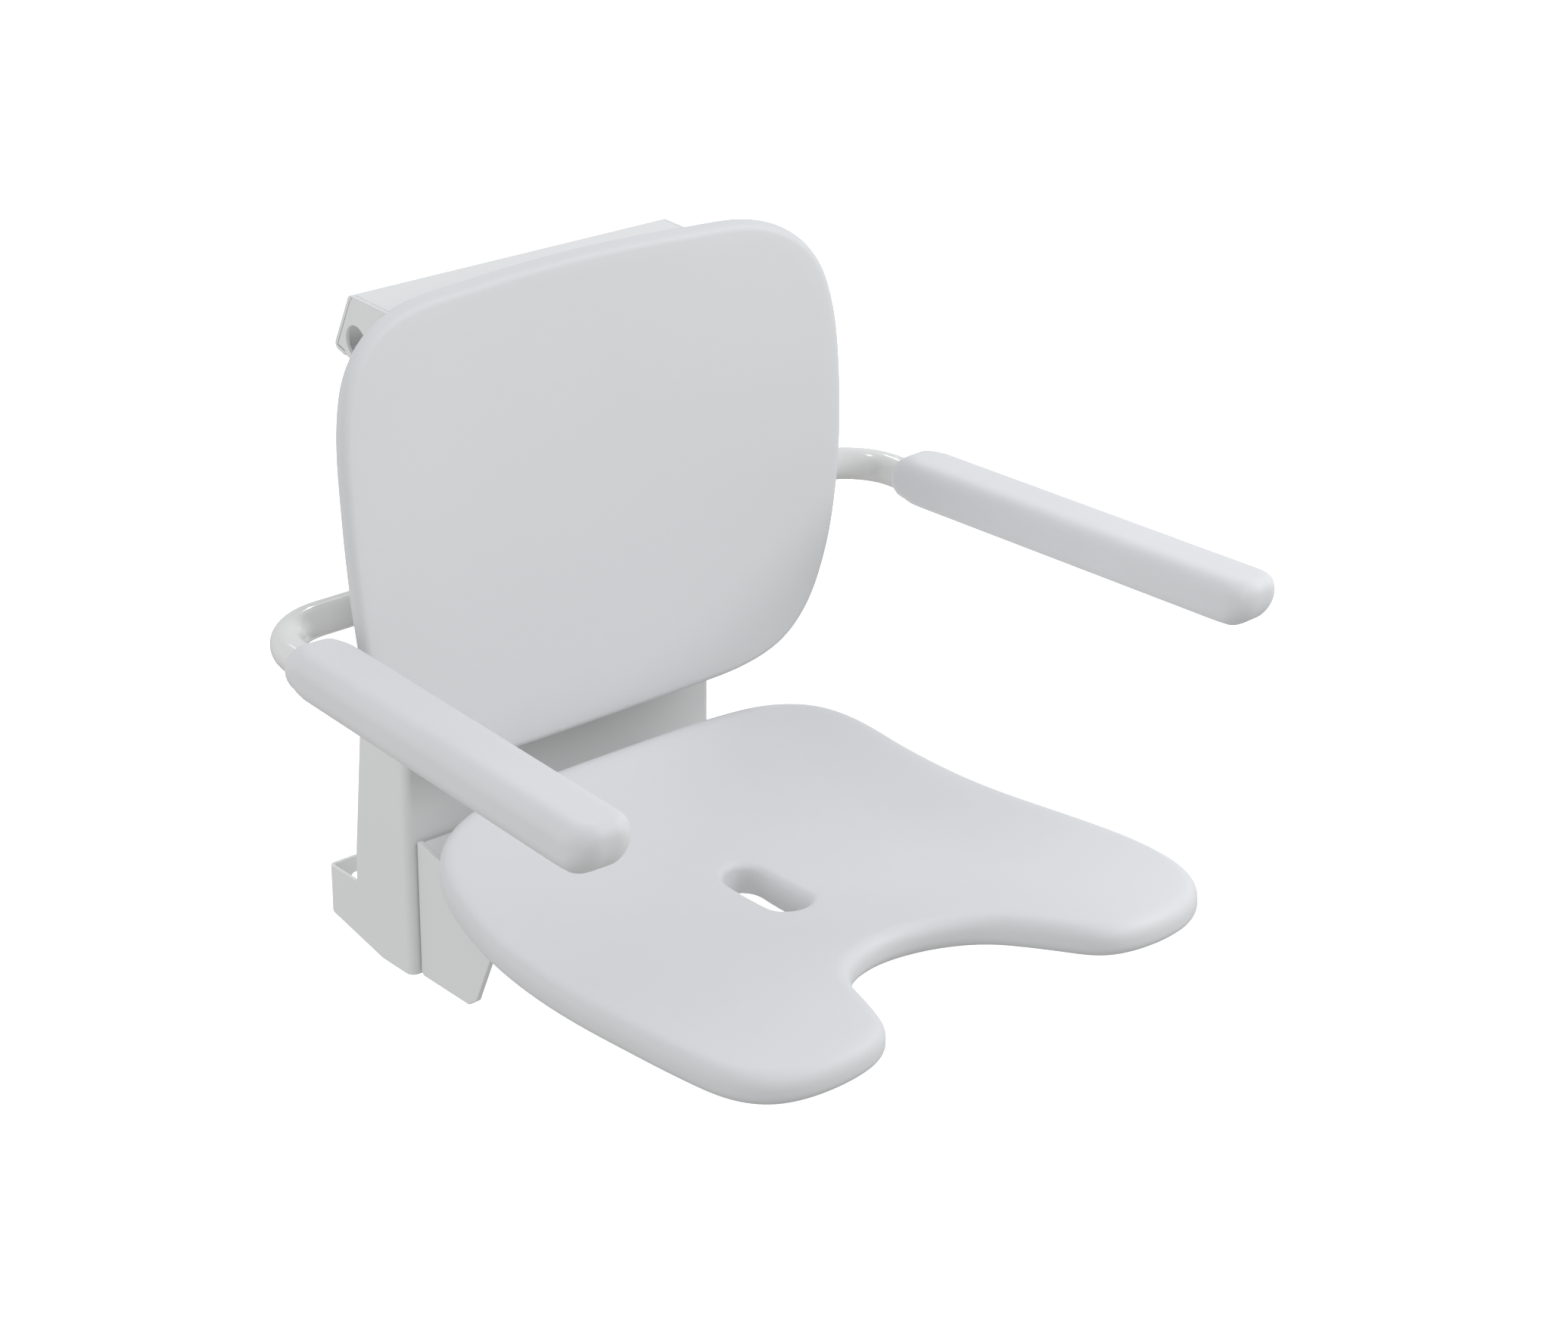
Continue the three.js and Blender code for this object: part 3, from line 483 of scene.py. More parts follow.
def loft(rings, closed=False):
    """Vertices and faces of a skin over rings of points. It has a fan at each end, unless it is closed."""
    n, verts = len(rings[0]), [p for ring in rings for p in ring]
    faces = []
    count = len(rings) if closed else len(rings) - 1
    for k in range(count):
        low, high = k * n, ((k + 1) % len(rings)) * n
        faces += [(low + i, low + (i + 1) % n, high + (i + 1) % n, high + i) for i in range(n)]
    if not closed:
        for ring, start in ((rings[0], 0), (rings[-1], (len(rings) - 1) * n)):
            middle = len(verts)
            verts.append(tuple(np.mean(np.array(ring), axis=0)))
            faces += [(start + i, start + (i + 1) % n, middle) for i in range(n)]
    return verts, faces


def piece(name, shapes, body, slot, nodes, smooth=40, even_normals=True):
    """A closed mesh object from one or more (vertices, faces) in millimetres. It rides on body, takes its
    finish from slot and stands for nodes."""
    mesh = bpy.data.meshes.new(name)
    bm = bmesh.new()
    for verts, faces in shapes:
        made = [bm.verts.new(Vector(v) * MM) for v in verts]
        for face in faces:
            if len(set(face)) > 2:
                bm.faces.new([made[i] for i in dict.fromkeys(face)])
    bmesh.ops.remove_doubles(bm, verts=bm.verts, dist=1e-6)
    bmesh.ops.recalc_face_normals(bm, faces=bm.faces)
    for face in bm.faces:
        face.smooth = True
    for e in bm.edges:
        e.smooth = len(e.link_faces) == 2 and e.calc_face_angle(0) < radians(smooth)
    bm.to_mesh(mesh)
    bm.free()
    obj = bpy.data.objects.new(name, mesh)
    bpy.context.scene.collection.objects.link(obj)
    mesh.materials.append(MATERIALS[slot])
    if even_normals:
        weighted = obj.modifiers.new("even_normals", "WEIGHTED_NORMAL")
        weighted.keep_sharp = True
        weighted.weight = 100
    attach(obj, body)
    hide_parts(*nodes)
    return obj


SIDES = (("left", -1), ("right", 1))


# ---- seat and backrest ---------------------------------------------------------------------------
SEAT_THICK, SEAT_EDGE, SEAT_LOW_EDGE, SEAT_RIM = 25, 12, 9, 225  # rim: half the seat's width
SLOT = dict(b=-344, half_width=16.5, length=79)
SLOT_EDGE, SLOT_LOW_EDGE = 6, 1.2
SEAT_OUTLINE = [  # (x, y) of the right half, from the rear round the lobe to the front notch
    (0, -174), (90, -176), (143, -183), (179, -199), (199, -224), (211, -273), (220, -354), (225, -440),
    (224, -516), (216, -556), (198, -579), (165, -591), (121, -590), (99, -579), (80, -543), (61, -503),
    (34, -480), (0, -471),
]
BACK_THICK, BACK_EDGE, BACK_LOW_EDGE = 10, 7.5, 2.0
BACK_OUTLINE = [  # (x, z) of the right half, from the top down
    (0, 513), (94, 511), (157, 507), (190, 494), (212, 471), (223, 436), (226, 371), (222, 298),
    (212, 238), (196, 195), (174, 170), (141, 157), (84, 152), (0, 150),
]


def seat_top(x, y):
    """Height of the dished seat: lowest at the drain slot, higher at the rear, the sides and the lobes."""
    u, v = (x / SEAT_RIM) ** 2, (y - SLOT["b"]) / SEAT_RIM
    return 89 + 68 * v**2 + 37 * v**3 + (19 - 21 * v**2) * u


def back_front(x, z):
    """Y of the backrest's front face: leaning and rounded in height, and wrapping round the sitter."""
    rise = z - 320
    return -155 + 0.037 * rise + rise**2 / 3000 - x**2 / 3160


def make_seat():
    verts, faces = panel(
        smooth_closed(mirrored(SEAT_OUTLINE), 460),
        lambda x, y, depth: (x, y, seat_top(x, y) - depth),
        SEAT_THICK, SEAT_EDGE, SEAT_LOW_EDGE,
        holes=[(capsule(**SLOT), SLOT_EDGE, SLOT_LOW_EDGE)], grid=8, steps=7,
    )
    piece("seat_moulding", [(verts, faces)], "seat", "shell", ["seat_shell"], even_normals=False)


def make_backrest():
    verts, faces = panel(
        smooth_closed(mirrored(BACK_OUTLINE), 400),
        lambda x, z, depth: (x, back_front(x, z) + depth, z),
        BACK_THICK, BACK_EDGE, BACK_LOW_EDGE, grid=9, steps=6,
    )
    piece("backrest_moulding", [(verts, faces)], "base", "shell", ["backrest_shell"], even_normals=False)


# ---- armrests ------------------------------------------------------------------------------------
ARM_Y, ARM_Z, ARM_R, ARM_BORE, ARM_BEND = -126.2, 290.3, 12.5, 10.5, 50
ARM_SPLAY = radians(2.95)
ARM_INNER, ARM_TIP_Y = 52.3, -505
UP = Vector((0, 0, 1))


def arm_x(y):
    return 276.8 + tan(ARM_SPLAY) * (-205.6 - y)


def arm_ahead(side):
    return Vector((side * sin(ARM_SPLAY), -cos(ARM_SPLAY), 0))


def arm_stations(side):
    """(point, direction) along the tube's centre line: level behind the back, a bend, then forwards."""
    ahead = arm_ahead(side)
    out = Vector((side, 0, 0))
    corner = Vector((side * arm_x(ARM_Y), ARM_Y, ARM_Z))
    turn = out.angle(ahead)
    reach = ARM_BEND * tan(turn / 2)
    start = corner - out * reach
    axis = out.cross(ahead).normalized()
    centre = start + axis.cross(out) * ARM_BEND
    stations = [(Vector((side * ARM_INNER, ARM_Y, ARM_Z)), out)]
    steps = 28
    for k in range(steps + 1):
        q = Quaternion(axis, turn * k / steps)
        stations.append((centre + q @ (start - centre), q @ out))
    stations.append((Vector((side * arm_x(ARM_TIP_Y), ARM_TIP_Y, ARM_Z)), ahead))
    return stations


def tube_ring(point, direction, r, count=48):
    across = UP.cross(direction).normalized()
    angles = [2 * pi * k / count for k in range(count)]
    return [point + across * (r * cos(a)) + UP * (r * sin(a)) for a in angles]


def make_arm_tube(name, side):
    stations = arm_stations(side)
    outer = [tube_ring(p, d, ARM_R) for p, d in stations]
    inner = [tube_ring(p, d, ARM_BORE) for p, d in reversed(stations)]
    piece(
        f"arm_tube_bent_{name}", [loft([*outer, *inner], closed=True)], f"arm_{name}", "arm_gloss",
        [f"arm_tube_{name}"], even_normals=False,
    )


PAD_REAR, PAD_LENGTH, PAD_Z = -186, 353, 294.3
PAD_HALF, PAD_HIGH, PAD_EDGE = 24, 17.9, 12.5  # half width, half height, radius of the long edges
PAD_CORNER, PAD_CHIN = 9, 19  # front top corner's radius, and how far the rounded chin reaches back
PAD_REAR_TOP, PAD_REAR_LOW = 17.5, 17.4  # radii of the rear corners, seen from the side
PAD_FRONT_SIDE, PAD_REAR_SIDE = 19, 14  # radii of the front and rear corners, seen from above
# how much rounder the long edges grow at the rear and the front, and how far from the end that starts
PAD_SOFT_REAR, PAD_SOFT_FRONT, PAD_SOFT_REACH = 10, 4, 30
PAD_CROWN = 0.7  # how far the top's middle stands above its edges


def rounding(distance, r):
    """How far a corner of radius r pulls a side in, at a distance from the end."""
    return r - sqrt(max(0.0, r * r - max(0.0, r - distance) ** 2))


def rounded_section(half, low, high, r_low, r_high, arc=9, flat=8):
    """A closed ring round a rectangle with rounded corners, always of equally many points."""
    quarters = ((1, high, r_high), (-1, high, r_high), (-1, low, r_low), (1, low, r_low))
    corners = []
    for turn, (side, level, r) in enumerate(quarters):
        middle = (side * (half - r), level - r if level == high else level + r)
        angles = [(turn + k / (arc - 1)) * pi / 2 for k in range(arc)]
        corners.append([(middle[0] + r * cos(a), middle[1] + r * sin(a)) for a in angles])
    ring = []
    for here, after in zip(corners, corners[1:] + corners[:1]):
        (a0, b0), (a1, b1) = here[-1], after[0]
        ring += here
        ring += [(a0 + (a1 - a0) * k / flat, b0 + (b1 - b0) * k / flat) for k in range(1, flat)]
    return ring


def pad_section(s):
    """(sideways, height) points round the pad at a distance s from its rear end."""
    ahead = PAD_LENGTH - s
    half = PAD_HALF - rounding(s, PAD_REAR_SIDE) - rounding(ahead, PAD_FRONT_SIDE)
    high = PAD_HIGH - rounding(s, PAD_REAR_TOP) - rounding(ahead, PAD_CORNER)
    chin = rounding(ahead, PAD_CHIN) / PAD_CHIN * (2 * PAD_HIGH - PAD_CORNER)
    low = -PAD_HIGH + rounding(s, PAD_REAR_LOW) + chin
    most = min(0.49 * (high - low), 0.98 * half)
    near_rear, near_front = ((1 + cos(pi * min(1, d / PAD_SOFT_REACH))) / 2 for d in (s, ahead))
    above = PAD_EDGE + PAD_SOFT_REAR * near_rear
    below = above + PAD_SOFT_FRONT * near_front
    ring = rounded_section(half, low, high, min(below, most), min(above, most))
    return [(w, h + PAD_CROWN * (1 - (w / PAD_HALF) ** 2) * max(0.0, h / PAD_HIGH)) for w, h in ring]


def make_arm_pad(name, side):
    across = UP.cross(arm_ahead(side)).normalized()
    turns = np.linspace(0.06, pi / 2, 24)
    stations = [PAD_REAR_TOP * (1 - cos(a)) for a in turns]
    stations += list(np.linspace(PAD_REAR_TOP, PAD_LENGTH - PAD_CHIN, 64)[1:-1])
    stations += [PAD_LENGTH - PAD_CHIN * (1 - cos(a)) for a in reversed(turns)]
    rings = []
    for s in stations:
        y = PAD_REAR - s * cos(ARM_SPLAY)
        middle = Vector((side * arm_x(y), y, PAD_Z))
        rings.append([middle + across * w + UP * h for w, h in pad_section(s)])
    pad = piece(
        f"arm_pad_foam_{name}", [loft(rings)], f"arm_{name}", "arm_pad", [f"arm_pad_{name}"],
        smooth=80, even_normals=False,
    )


# ---- back frame ----------------------------------------------------------------------------------
FRAME_HALF, FRAME_FRONT, SHEET, FRAME_BEND, FOOT_BEND = 146.5, -106.5, 3, 7, 5
FOOT_HOLE_X, FOOT_HOLE_Z, FOOT_HOLE_R = 124, 1.5, 4.5
BOLT_HOLE_R = 3.3
HANGER_BOLT_Z = 452
HOUSING_BOLTS = [(x, z) for x in (-100, 100) for z in (-15, 45)]
HANGER_BOLTS = [(x, HANGER_BOLT_Z) for x in (-60, 60)]
SPACER_BOLTS = [(x, z) for x in (-70, 70) for z in (215, 400)]
BEARING_BOLTS = [(s * 80, ARM_Z + up * 26) for _, s in SIDES for up in (-1, 1)]


def bolt_hole(a, b):
    return (circle(a, b, BOLT_HOLE_R, 24), 0.3, 0.3)


def fold_path(corners):
    """corners: (a, b, radius) of a sheet's outer face in section. Returns the path's length at the ends
    of each bend, its whole length, and at(s, depth), the point in section that far along and that deep."""
    parts, length = [], 0.0
    last = Vector(corners[0][:2])
    for i in range(1, len(corners)):
        here = Vector(corners[i][:2])
        r = corners[i][2]
        go = (here - last).normalized()
        if i == len(corners) - 1 or r <= 0:
            parts.append(("line", length, last.copy(), go))
            length += (here - last).length
            last = here
            continue
        on = (Vector(corners[i + 1][:2]) - here).normalized()
        turn = go.angle_signed(on)
        reach = r * tan(abs(turn) / 2)
        start = here - go * reach
        parts.append(("line", length, last.copy(), go))
        length += (start - last).length
        side = 1 if turn < 0 else -1
        normal = Vector((-go.y, go.x)) * side
        parts.append(("bend", length, start + normal * r, -normal * r, side / r))
        length += r * abs(turn)
        last = here + on * reach
    starts = [p[1] for p in parts] + [length]

    def at(s, depth):
        k = max(0, min(len(parts) - 1, int(np.searchsorted(starts, s, side="right")) - 1))
        part = parts[k]
        if part[0] == "line":
            normal = Vector((-part[3].y, part[3].x))
            return part[2] + part[3] * (s - part[1]) + normal * depth
        spoke = Vector(part[3])
        spoke.rotate(Matrix.Rotation((s - part[1]) * part[4], 2))
        toward = -1 if part[4] > 0 else 1
        return part[2] + spoke + spoke.normalized() * depth * toward

    bends = [(parts[k][1], starts[k + 1]) for k in range(len(parts)) if parts[k][0] == "bend"]
    return bends, length, at


def fold_lines(bends, steps=8):
    return [a + (b - a) * k / steps for a, b in bends for k in range(steps + 1)]


def with_points_at(outline, folds):
    """The outline with extra points where it crosses each fold line."""
    points, n = [], len(outline)
    for i in range(n):
        p, q = np.array(outline[i], float), np.array(outline[(i + 1) % n], float)
        points.append(tuple(p))
        low, high = sorted((p[0], q[0]))
        crossed = [a for a in folds if low + 1e-4 < a < high - 1e-4]
        for a in sorted(crossed, reverse=bool(p[0] > q[0])):
            points.append(tuple(p + (q - p) * (a - p[0]) / (q[0] - p[0])))
    return np.array(points)


def make_frame():
    half, front = FRAME_HALF, FRAME_FRONT
    bends, length, at = fold_path([
        (0, 0, 0), (-half, 0, FOOT_BEND), (-half, front, FRAME_BEND),
        (half, front, FRAME_BEND), (half, 0, FOOT_BEND), (0, 0, 0),
    ])
    folds = fold_lines(bends)
    middle = length / 2  # flat distances below are measured from here, the middle of the front plate
    flange = bends[2][1] - middle - (front + FRAME_BEND)  # flat distance along the flange is flange + y
    corner = bends[3][1] - middle
    right = [
        (flange - 86.5, 470, 3), (flange - 84.9, 454.5, 0), (flange - 39.2, 47.4, 0),
        (flange - 38, 19.5, 3), (middle, 19.5, 0), (middle, -19.5, 0), (corner, -19.5, 4),
        (flange - 69, -34, 6),
    ]
    edge = right + [(-t, z, r) for t, z, r in reversed(right)]
    outline = with_points_at(filleted([(middle + t, z, r) for t, z, r in edge]), folds)
    bolts = [*HOUSING_BOLTS, *HANGER_BOLTS, *SPACER_BOLTS, *BEARING_BOLTS]
    holes = [bolt_hole(middle + x, z) for x, z in bolts]
    foot_holes = [FOOT_HOLE_X, length - FOOT_HOLE_X]
    holes += [(circle(s, FOOT_HOLE_Z, FOOT_HOLE_R, 32), 0.4, 0.4) for s in foot_holes]

    def place(s, z, depth):
        p = at(s, depth)
        return (p.x, p.y, z)

    sheet = panel(outline, place, SHEET, 0.5, 0.5, holes=holes, folds=folds, steps=3)
    piece("frame_folded_sheet", [sheet], "base", "frame_coat", ["back_frame"])


# ---- hanger: a bent sheet inside the frame's top, with a plate at each end -----------------------
HANGER_HALF, HANGER_FRONT, HANGER_TOP, GAP = 142.9, -103.2, 489.6, 0.3
HANGER_REAR, HANGER_LIP, HANGER_LIP_IN = (-55.6, 491.5), (-34.3, 447.9), (-48.1, 443.6)
HANGER_HOLE, HANGER_HOLE_R = (-62.3, 457.8), 12


def make_hanger():
    top_bend = 4
    bends, length, at = fold_path([
        (*HANGER_LIP_IN, 0), (*HANGER_LIP, 4.5), (*HANGER_REAR, 5),
        (HANGER_FRONT, HANGER_TOP, top_bend), (HANGER_FRONT, 425, 0),
    ])
    folds = fold_lines(bends)
    notch = bends[1][1] + 1.5
    wide, narrow = HANGER_HALF, HANGER_HALF - SHEET - GAP
    edge = [
        (0, -wide, 2), (notch, -wide, 0.8), (notch, -narrow, 0), (length, -narrow, 3),
        (length, narrow, 3), (notch, narrow, 0), (notch, wide, 0.8), (0, wide, 2),
    ]
    bolt_s = bends[2][1] + (HANGER_TOP - top_bend - HANGER_BOLT_Z)
    holes = [bolt_hole(bolt_s, x) for x, _ in HANGER_BOLTS]

    def place(s, x, depth):
        p = at(s, depth)
        return (x, p.x, p.y)

    outline = with_points_at(filleted(edge), folds)
    sheet = panel(outline, place, SHEET, 0.4, 0.4, holes=holes, folds=folds, steps=3)
    piece("hanger_bent_sheet", [sheet], "base", "frame_coat", ["hanger_profile"])

    rear_y, rear_z = HANGER_REAR
    bottom = HANGER_LIP_IN[1]
    cap = filleted([
        (rear_y - 3.6, rear_z - 0.3, 2.5), (HANGER_FRONT, HANGER_TOP, 3), (HANGER_FRONT, bottom, 3),
        (-51.4, bottom, 2), (-47.2, 448.2, 1), (-39.6, 450.6, 1),
    ])
    for side_name, side in SIDES:
        def place_cap(y, z, depth, side=side):
            return (side * (HANGER_HALF - depth), y, z)

        hole = (circle(*HANGER_HOLE, HANGER_HOLE_R, 56), 0.5, 0.5)
        plate = panel(cap, place_cap, SHEET, 0.5, 0.4, holes=[hole], steps=3)
        piece(
            f"hanger_end_plate_{side_name}", [plate], "base", "frame_coat",
            [f"hanger_cap_{side_name}"],
        )


# ---- hinge housing -------------------------------------------------------------------------------
HOUSING_HALF, HOUSING_SIDE, HOUSING_REAR, HOUSING_LOW, ROOF_FRONT = 138.3, 4.5, -107.7, -34.4, -152
HINGE_Y, HINGE_Z, HINGE_BORE, LUG_R = -185, 91, 6.3, 14


def make_housing():
    rear = HOUSING_REAR
    sweep = np.linspace(-0.28, pi + 0.21, 26)
    lug = [(HINGE_Y + LUG_R * cos(a), HINGE_Z + LUG_R * sin(a), 0) for a in sweep]
    outline = filleted([
        (rear, HOUSING_LOW, 4), (rear, 79, 1.5), (rear - 26.3, 73.6, 8), (rear - 50, 69, 7), *lug,
        (rear - 108, 60, 9), (rear - 69.5, -27, 3), (rear - 59.5, HOUSING_LOW, 4),
    ])
    shapes = []
    for _, side in SIDES:
        def place(y, z, depth, side=side):
            return (side * (HOUSING_HALF - depth), y, z)

        bore = (circle(HINGE_Y, HINGE_Z, HINGE_BORE, 40), 0.3, 0.3)
        shapes.append(panel(outline, place, HOUSING_SIDE, 0.9, 0.6, holes=[bore], steps=3))
    inner = HOUSING_HALF - HOUSING_SIDE + 0.4
    bends, length, at = fold_path([
        (rear, HOUSING_LOW, 0), (rear, 78.6, 3.6), (rear - 26.3, 73.4, 12), (ROOF_FRONT, 69.8, 0),
    ])
    folds = fold_lines(bends, 5)
    edge = [(0, -inner, 2), (length, -inner, 0), (length, inner, 0), (0, inner, 2)]
    holes = [bolt_hole(z - HOUSING_LOW, x) for x, z in HOUSING_BOLTS]

    def place_back(s, x, depth):
        p = at(s, depth)
        return (x, p.x, p.y)

    outline = with_points_at(filleted(edge), folds)
    shapes.append(panel(outline, place_back, SHEET, 0.4, 0.4, holes=holes, folds=folds, steps=2))
    piece("housing_folded_bracket", shapes, "base", "hinge_coat", ["seat_housing"])


# ---- turned and small moulded parts, sized by the boxes of their CAD nodes -----------------------
AXIS_ORDER = {"X": (1, 2, 0), "Y": (0, 2, 1), "Z": (0, 1, 2)}


def turned(axis, profile, a, b, hexagon=(), count=48):
    """A skin of revolution through (radius, place along the axis). Rings named in hexagon are six-sided."""
    closed = profile[0] == profile[-1]
    rings = []
    for k, (r, h) in enumerate(profile[:-1] if closed else profile):
        ring = []
        for i in range(count):
            angle = 2 * pi * i / count
            reach = r / cos((angle % (pi / 3)) - pi / 6) if k in hexagon else r
            local = (a + reach * cos(angle), b + reach * sin(angle), h)
            point = [0.0, 0.0, 0.0]
            for value, target in zip(local, AXIS_ORDER[axis]):
                point[target] = value
            ring.append(tuple(point))
        rings.append(ring)
    return loft(rings, closed=closed)


def node_box(node):
    lo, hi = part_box(node)
    return [v / MM for v in lo], [v / MM for v in hi]


def block(lo, hi, r, edge):
    """A block with its upright edges rounded by r and its top and bottom edges by edge."""
    corners = filleted([(lo[0], lo[1], r), (hi[0], lo[1], r), (hi[0], hi[1], r), (lo[0], hi[1], r)])

    def place(x, y, depth):
        return (x, y, hi[2] - depth)

    return panel(corners, place, hi[2] - lo[2], edge, edge, steps=3)


def make_bolts():
    """Button-head bolts with a hexagon socket: head at the low or the high end of the axis."""
    kinds = [
        ("housing_bolt", 4, "Y", 1, "base"), ("hanger_bolt", 2, "Y", 1, "base"),
        ("bearing_bolt", 4, "Y", 1, "base"), ("backrest_bolt", 4, "Y", -1, "base"),
        ("seat_screw_left", 2, "Z", 1, "seat"), ("seat_screw_right", 2, "Z", 1, "seat"),
    ]
    for kind, how_many, axis, direction, body in kinds:
        for number in range(1, how_many + 1):
            node = f"{kind}_{number}"
            lo, hi = node_box(node)
            i, j, k = AXIS_ORDER[axis]
            r = (hi[i] - lo[i]) / 2
            a, b, length = (hi[i] + lo[i]) / 2, (hi[j] + lo[j]) / 2, hi[k] - lo[k]
            shank, head = r * 0.46, r * 0.6
            arc = np.linspace(0, pi / 2, 8)
            dome = [(r * (0.5 + 0.5 * sin(t)), 0.8 * head * (1 - cos(t))) for t in arc]
            profile = [(r * 0.34, head * 0.7), (r * 0.36, 0.2), *dome, (r, head), (shank, head)]
            profile += [(shank, length - 0.7), (shank - 0.7, length)]
            start = lo[k] if direction > 0 else hi[k]
            placed = [(radius, start + direction * h) for radius, h in profile]
            bolt = turned(axis, placed, a, b, hexagon=(0, 1), count=36)
            piece(f"{node}_socket_head", [bolt], body, "fastener", [node], smooth=35)


def ring_piece(node, axis, bore, chamfer, body, slot, name):
    """A plain ring as wide and as long as its node's box."""
    lo, hi = node_box(node)
    i, j, k = AXIS_ORDER[axis]
    r, a, b, c = (hi[i] - lo[i]) / 2, (hi[i] + lo[i]) / 2, (hi[j] + lo[j]) / 2, chamfer
    soft = [(r - c * (1 - sin(t)), c * (1 - cos(t))) for t in np.linspace(0, pi / 2, 5)]
    profile = [(bore, lo[k] + c * 0.5), (bore + c * 0.5, lo[k])]
    profile += [(x, lo[k] + h) for x, h in soft]
    profile += [(x, hi[k] - h) for x, h in reversed(soft)]
    profile += [(bore + c * 0.5, hi[k]), (bore, hi[k] - c * 0.5)]
    profile.append(profile[0])
    piece(name, [turned(axis, profile, a, b)], body, slot, [node], smooth=35)


PLUG_FROM = 48  # the tube plug's inner face, from the middle
COLLAR_FROM, COLLAR_TO, COLLAR_R = 105.5, 113.5, 16.5
SADDLE_R, BEARING_FOOT = 17, 5


def make_fittings():
    for number in range(1, 5):
        ring_piece(
            f"backrest_spacer_{number}", "Y", BOLT_HOLE_R, 0.8, "base", "grey_plastic",
            f"backrest_standoff_{number}",
        )
    lo, hi = node_box("hinge_axle")
    r = (hi[1] - lo[1]) / 2
    rod = [(r - 0.8, lo[0]), (r, lo[0] + 0.8), (r, hi[0] - 0.8), (r - 0.8, hi[0])]
    axle = turned("X", rod, HINGE_Y, HINGE_Z)
    piece("hinge_axle_rod", [axle], "base", "fastener", ["hinge_axle"], smooth=35)
    for side_name, side in SIDES:
        ring_piece(
            f"hinge_washer_{side_name}", "X", HINGE_BORE, 0.6, "seat", "grey_plastic",
            f"hinge_thrust_washer_{side_name}",
        )

        lo, hi = node_box(f"axle_cap_{side_name}")
        near, far = (lo[0], hi[0]) if side > 0 else (hi[0], lo[0])
        r, deep = (hi[1] - lo[1]) / 2, abs(far - near)
        arc = np.linspace(0, pi / 2 * 0.96, 10)
        crown = [(r * cos(t), 0.35 * deep + 0.65 * deep * sin(t)) for t in arc]
        cup = [(HINGE_BORE * 0.5, 3), (HINGE_BORE, 3), (HINGE_BORE, 0), (r - 0.5, 0), (r, 0.5), *crown]
        placed = [(x, near + side * h) for x, h in cup]
        piece(
            f"axle_end_cap_{side_name}", [turned("X", placed, HINGE_Y, HINGE_Z)], "base",
            "grey_plastic", [f"axle_cap_{side_name}"], smooth=35,
        )

        lo, hi = node_box(f"rest_buffer_{side_name}")
        piece(
            f"rest_buffer_block_{side_name}", [block(lo, hi, 2, 1.5)], "base", "buffer_rubber",
            [f"rest_buffer_{side_name}"],
        )

        lo, hi = node_box(f"arm_stop_{side_name}")
        piece(
            f"arm_stop_block_{side_name}", [block(lo, hi, 1.2, 0.8)], "base", "hinge_coat",
            [f"arm_stop_{side_name}"],
        )

        plug = [
            (14.3, 0), (15.1, 0.4), (15.5, 1.2), (15.5, 3.6), (15, 4),
            (ARM_BORE - GAP, 4), (ARM_BORE - GAP, 19), (ARM_BORE - 1.5, 20),
        ]
        placed = [(x, side * (PLUG_FROM + h)) for x, h in plug]
        piece(
            f"arm_end_plug_{side_name}", [turned("X", placed, ARM_Y, ARM_Z)], f"arm_{side_name}",
            "grey_plastic", [f"arm_plug_{side_name}"], smooth=35,
        )

        x0, x1 = sorted((side * COLLAR_FROM, side * COLLAR_TO))
        c, bore_r = 0.8, ARM_R + GAP
        collar = [
            (bore_r, x0 + c), (bore_r + c, x0), (COLLAR_R - c, x0), (COLLAR_R, x0 + c),
            (COLLAR_R, x1 - c), (COLLAR_R - c, x1), (bore_r + c, x1), (bore_r, x1 - c),
        ]
        collar.append(collar[0])
        lug = block((x0, ARM_Y - 4.8, ARM_Z - 20), (x1, ARM_Y + 5, ARM_Z - 14), 1.2, 0.8)
        piece(
            f"arm_collar_ring_{side_name}", [turned("X", collar, ARM_Y, ARM_Z), lug],
            f"arm_{side_name}", "hinge_coat", [f"arm_collar_{side_name}"], smooth=35,
        )

        lo, hi = node_box(f"arm_bearing_{side_name}")
        face, foot = hi[1], hi[1] - BEARING_FOOT
        low, high, nose = ARM_Z - SADDLE_R, ARM_Z + SADDLE_R, ARM_Y - SADDLE_R
        edge = filleted([
            (face, lo[2], 1.6), (face, hi[2], 1.6), (foot, hi[2], 2.5), (foot, high, 2.5),
            (nose, high, SADDLE_R - 0.8), (nose, low, SADDLE_R - 0.8), (foot, low, 2.5), (foot, lo[2], 2.5),
        ])

        def place(y, z, depth, hi=hi):
            return (hi[0] - depth, y, z)

        bore = (circle(ARM_Y, ARM_Z, bore_r, 48), 0.6, 0.6)
        saddle = panel(edge, place, hi[0] - lo[0], 1.2, 1.2, holes=[bore], steps=3)
        piece(
            f"arm_bearing_block_{side_name}", [saddle], "base", "grey_plastic",
            [f"arm_bearing_{side_name}"],
        )

    lo, hi = node_box("hanger_glide")
    outline = filleted([(lo[0], lo[1], 3), (hi[0], lo[1], 3), (hi[0], hi[1], 3), (lo[0], hi[1], 3)])

    def place_strip(x, y, depth):
        return (x, y, lo[2] + depth)

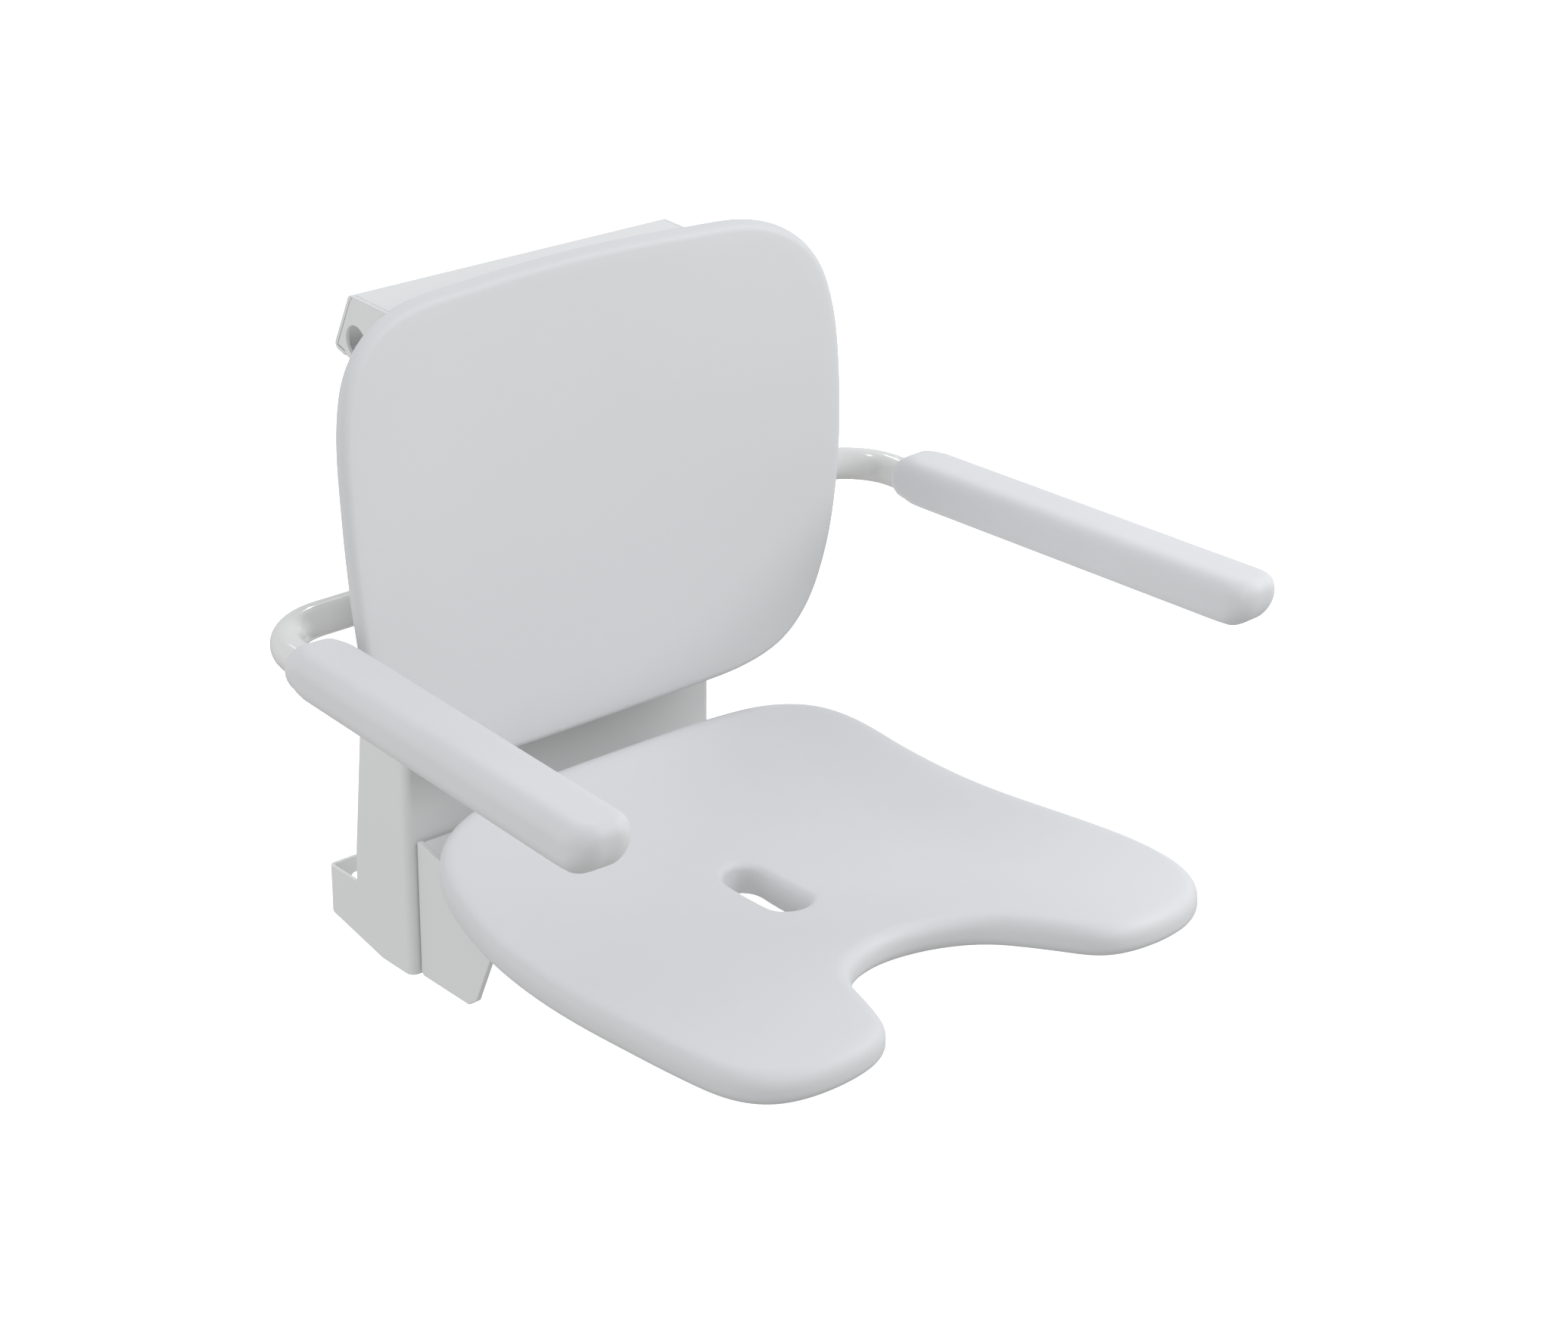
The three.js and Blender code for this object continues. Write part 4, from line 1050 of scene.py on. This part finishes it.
    strip = panel(outline, place_strip, hi[2] - lo[2], 1.2, 0.4, steps=3)
    piece("hanger_glide_strip", [strip], "base", "grey_plastic", ["hanger_glide"])


def smooth_by_angle():
    """A node group that shades a mesh smooth except across edges sharper than 35 degrees."""
    group = bpy.data.node_groups.new("smooth_by_angle", "GeometryNodeTree")
    group.interface.new_socket("Geometry", in_out="INPUT", socket_type="NodeSocketGeometry")
    group.interface.new_socket("Geometry", in_out="OUTPUT", socket_type="NodeSocketGeometry")
    nodes, links = group.nodes, group.links
    start, end = nodes.new("NodeGroupInput"), nodes.new("NodeGroupOutput")
    faces = nodes.new("GeometryNodeSetShadeSmooth")
    edges = nodes.new("GeometryNodeSetShadeSmooth")
    edges.domain = "EDGE"
    edges.inputs["Shade Smooth"].default_value = False
    angle = nodes.new("GeometryNodeInputMeshEdgeAngle")
    sharp = nodes.new("FunctionNodeCompare")
    sharp.operation = "GREATER_THAN"
    sharp.inputs["B"].default_value = radians(35)
    links.new(start.outputs["Geometry"], faces.inputs["Geometry"])
    links.new(faces.outputs["Geometry"], edges.inputs["Geometry"])
    links.new(angle.outputs["Unsigned Angle"], sharp.inputs["A"])
    links.new(sharp.outputs["Result"], edges.inputs["Selection"])
    links.new(edges.outputs["Geometry"], end.inputs["Geometry"])
    return group


def finish_carrier():
    """The carrier under the seat keeps its CAD shape, with its edges broken and its slot's material."""
    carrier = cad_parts["seat_carrier"]
    carrier.data.materials.clear()
    carrier.data.materials.append(MATERIALS["hinge_coat"])
    bevel = carrier.modifiers.new("broken_edges", "BEVEL")
    bevel.width = 0.0005
    bevel.segments = 2
    bevel.limit_method = "ANGLE"
    bevel.angle_limit = radians(40)
    carrier.modifiers.new("smooth", "NODES").node_group = smooth_by_angle()


make_camera()
make_stage()
make_seat()
make_backrest()
for side_name, side_sign in SIDES:
    make_arm_tube(side_name, side_sign)
    make_arm_pad(side_name, side_sign)
make_frame()
make_hanger()
make_housing()
make_bolts()
make_fittings()
finish_carrier()
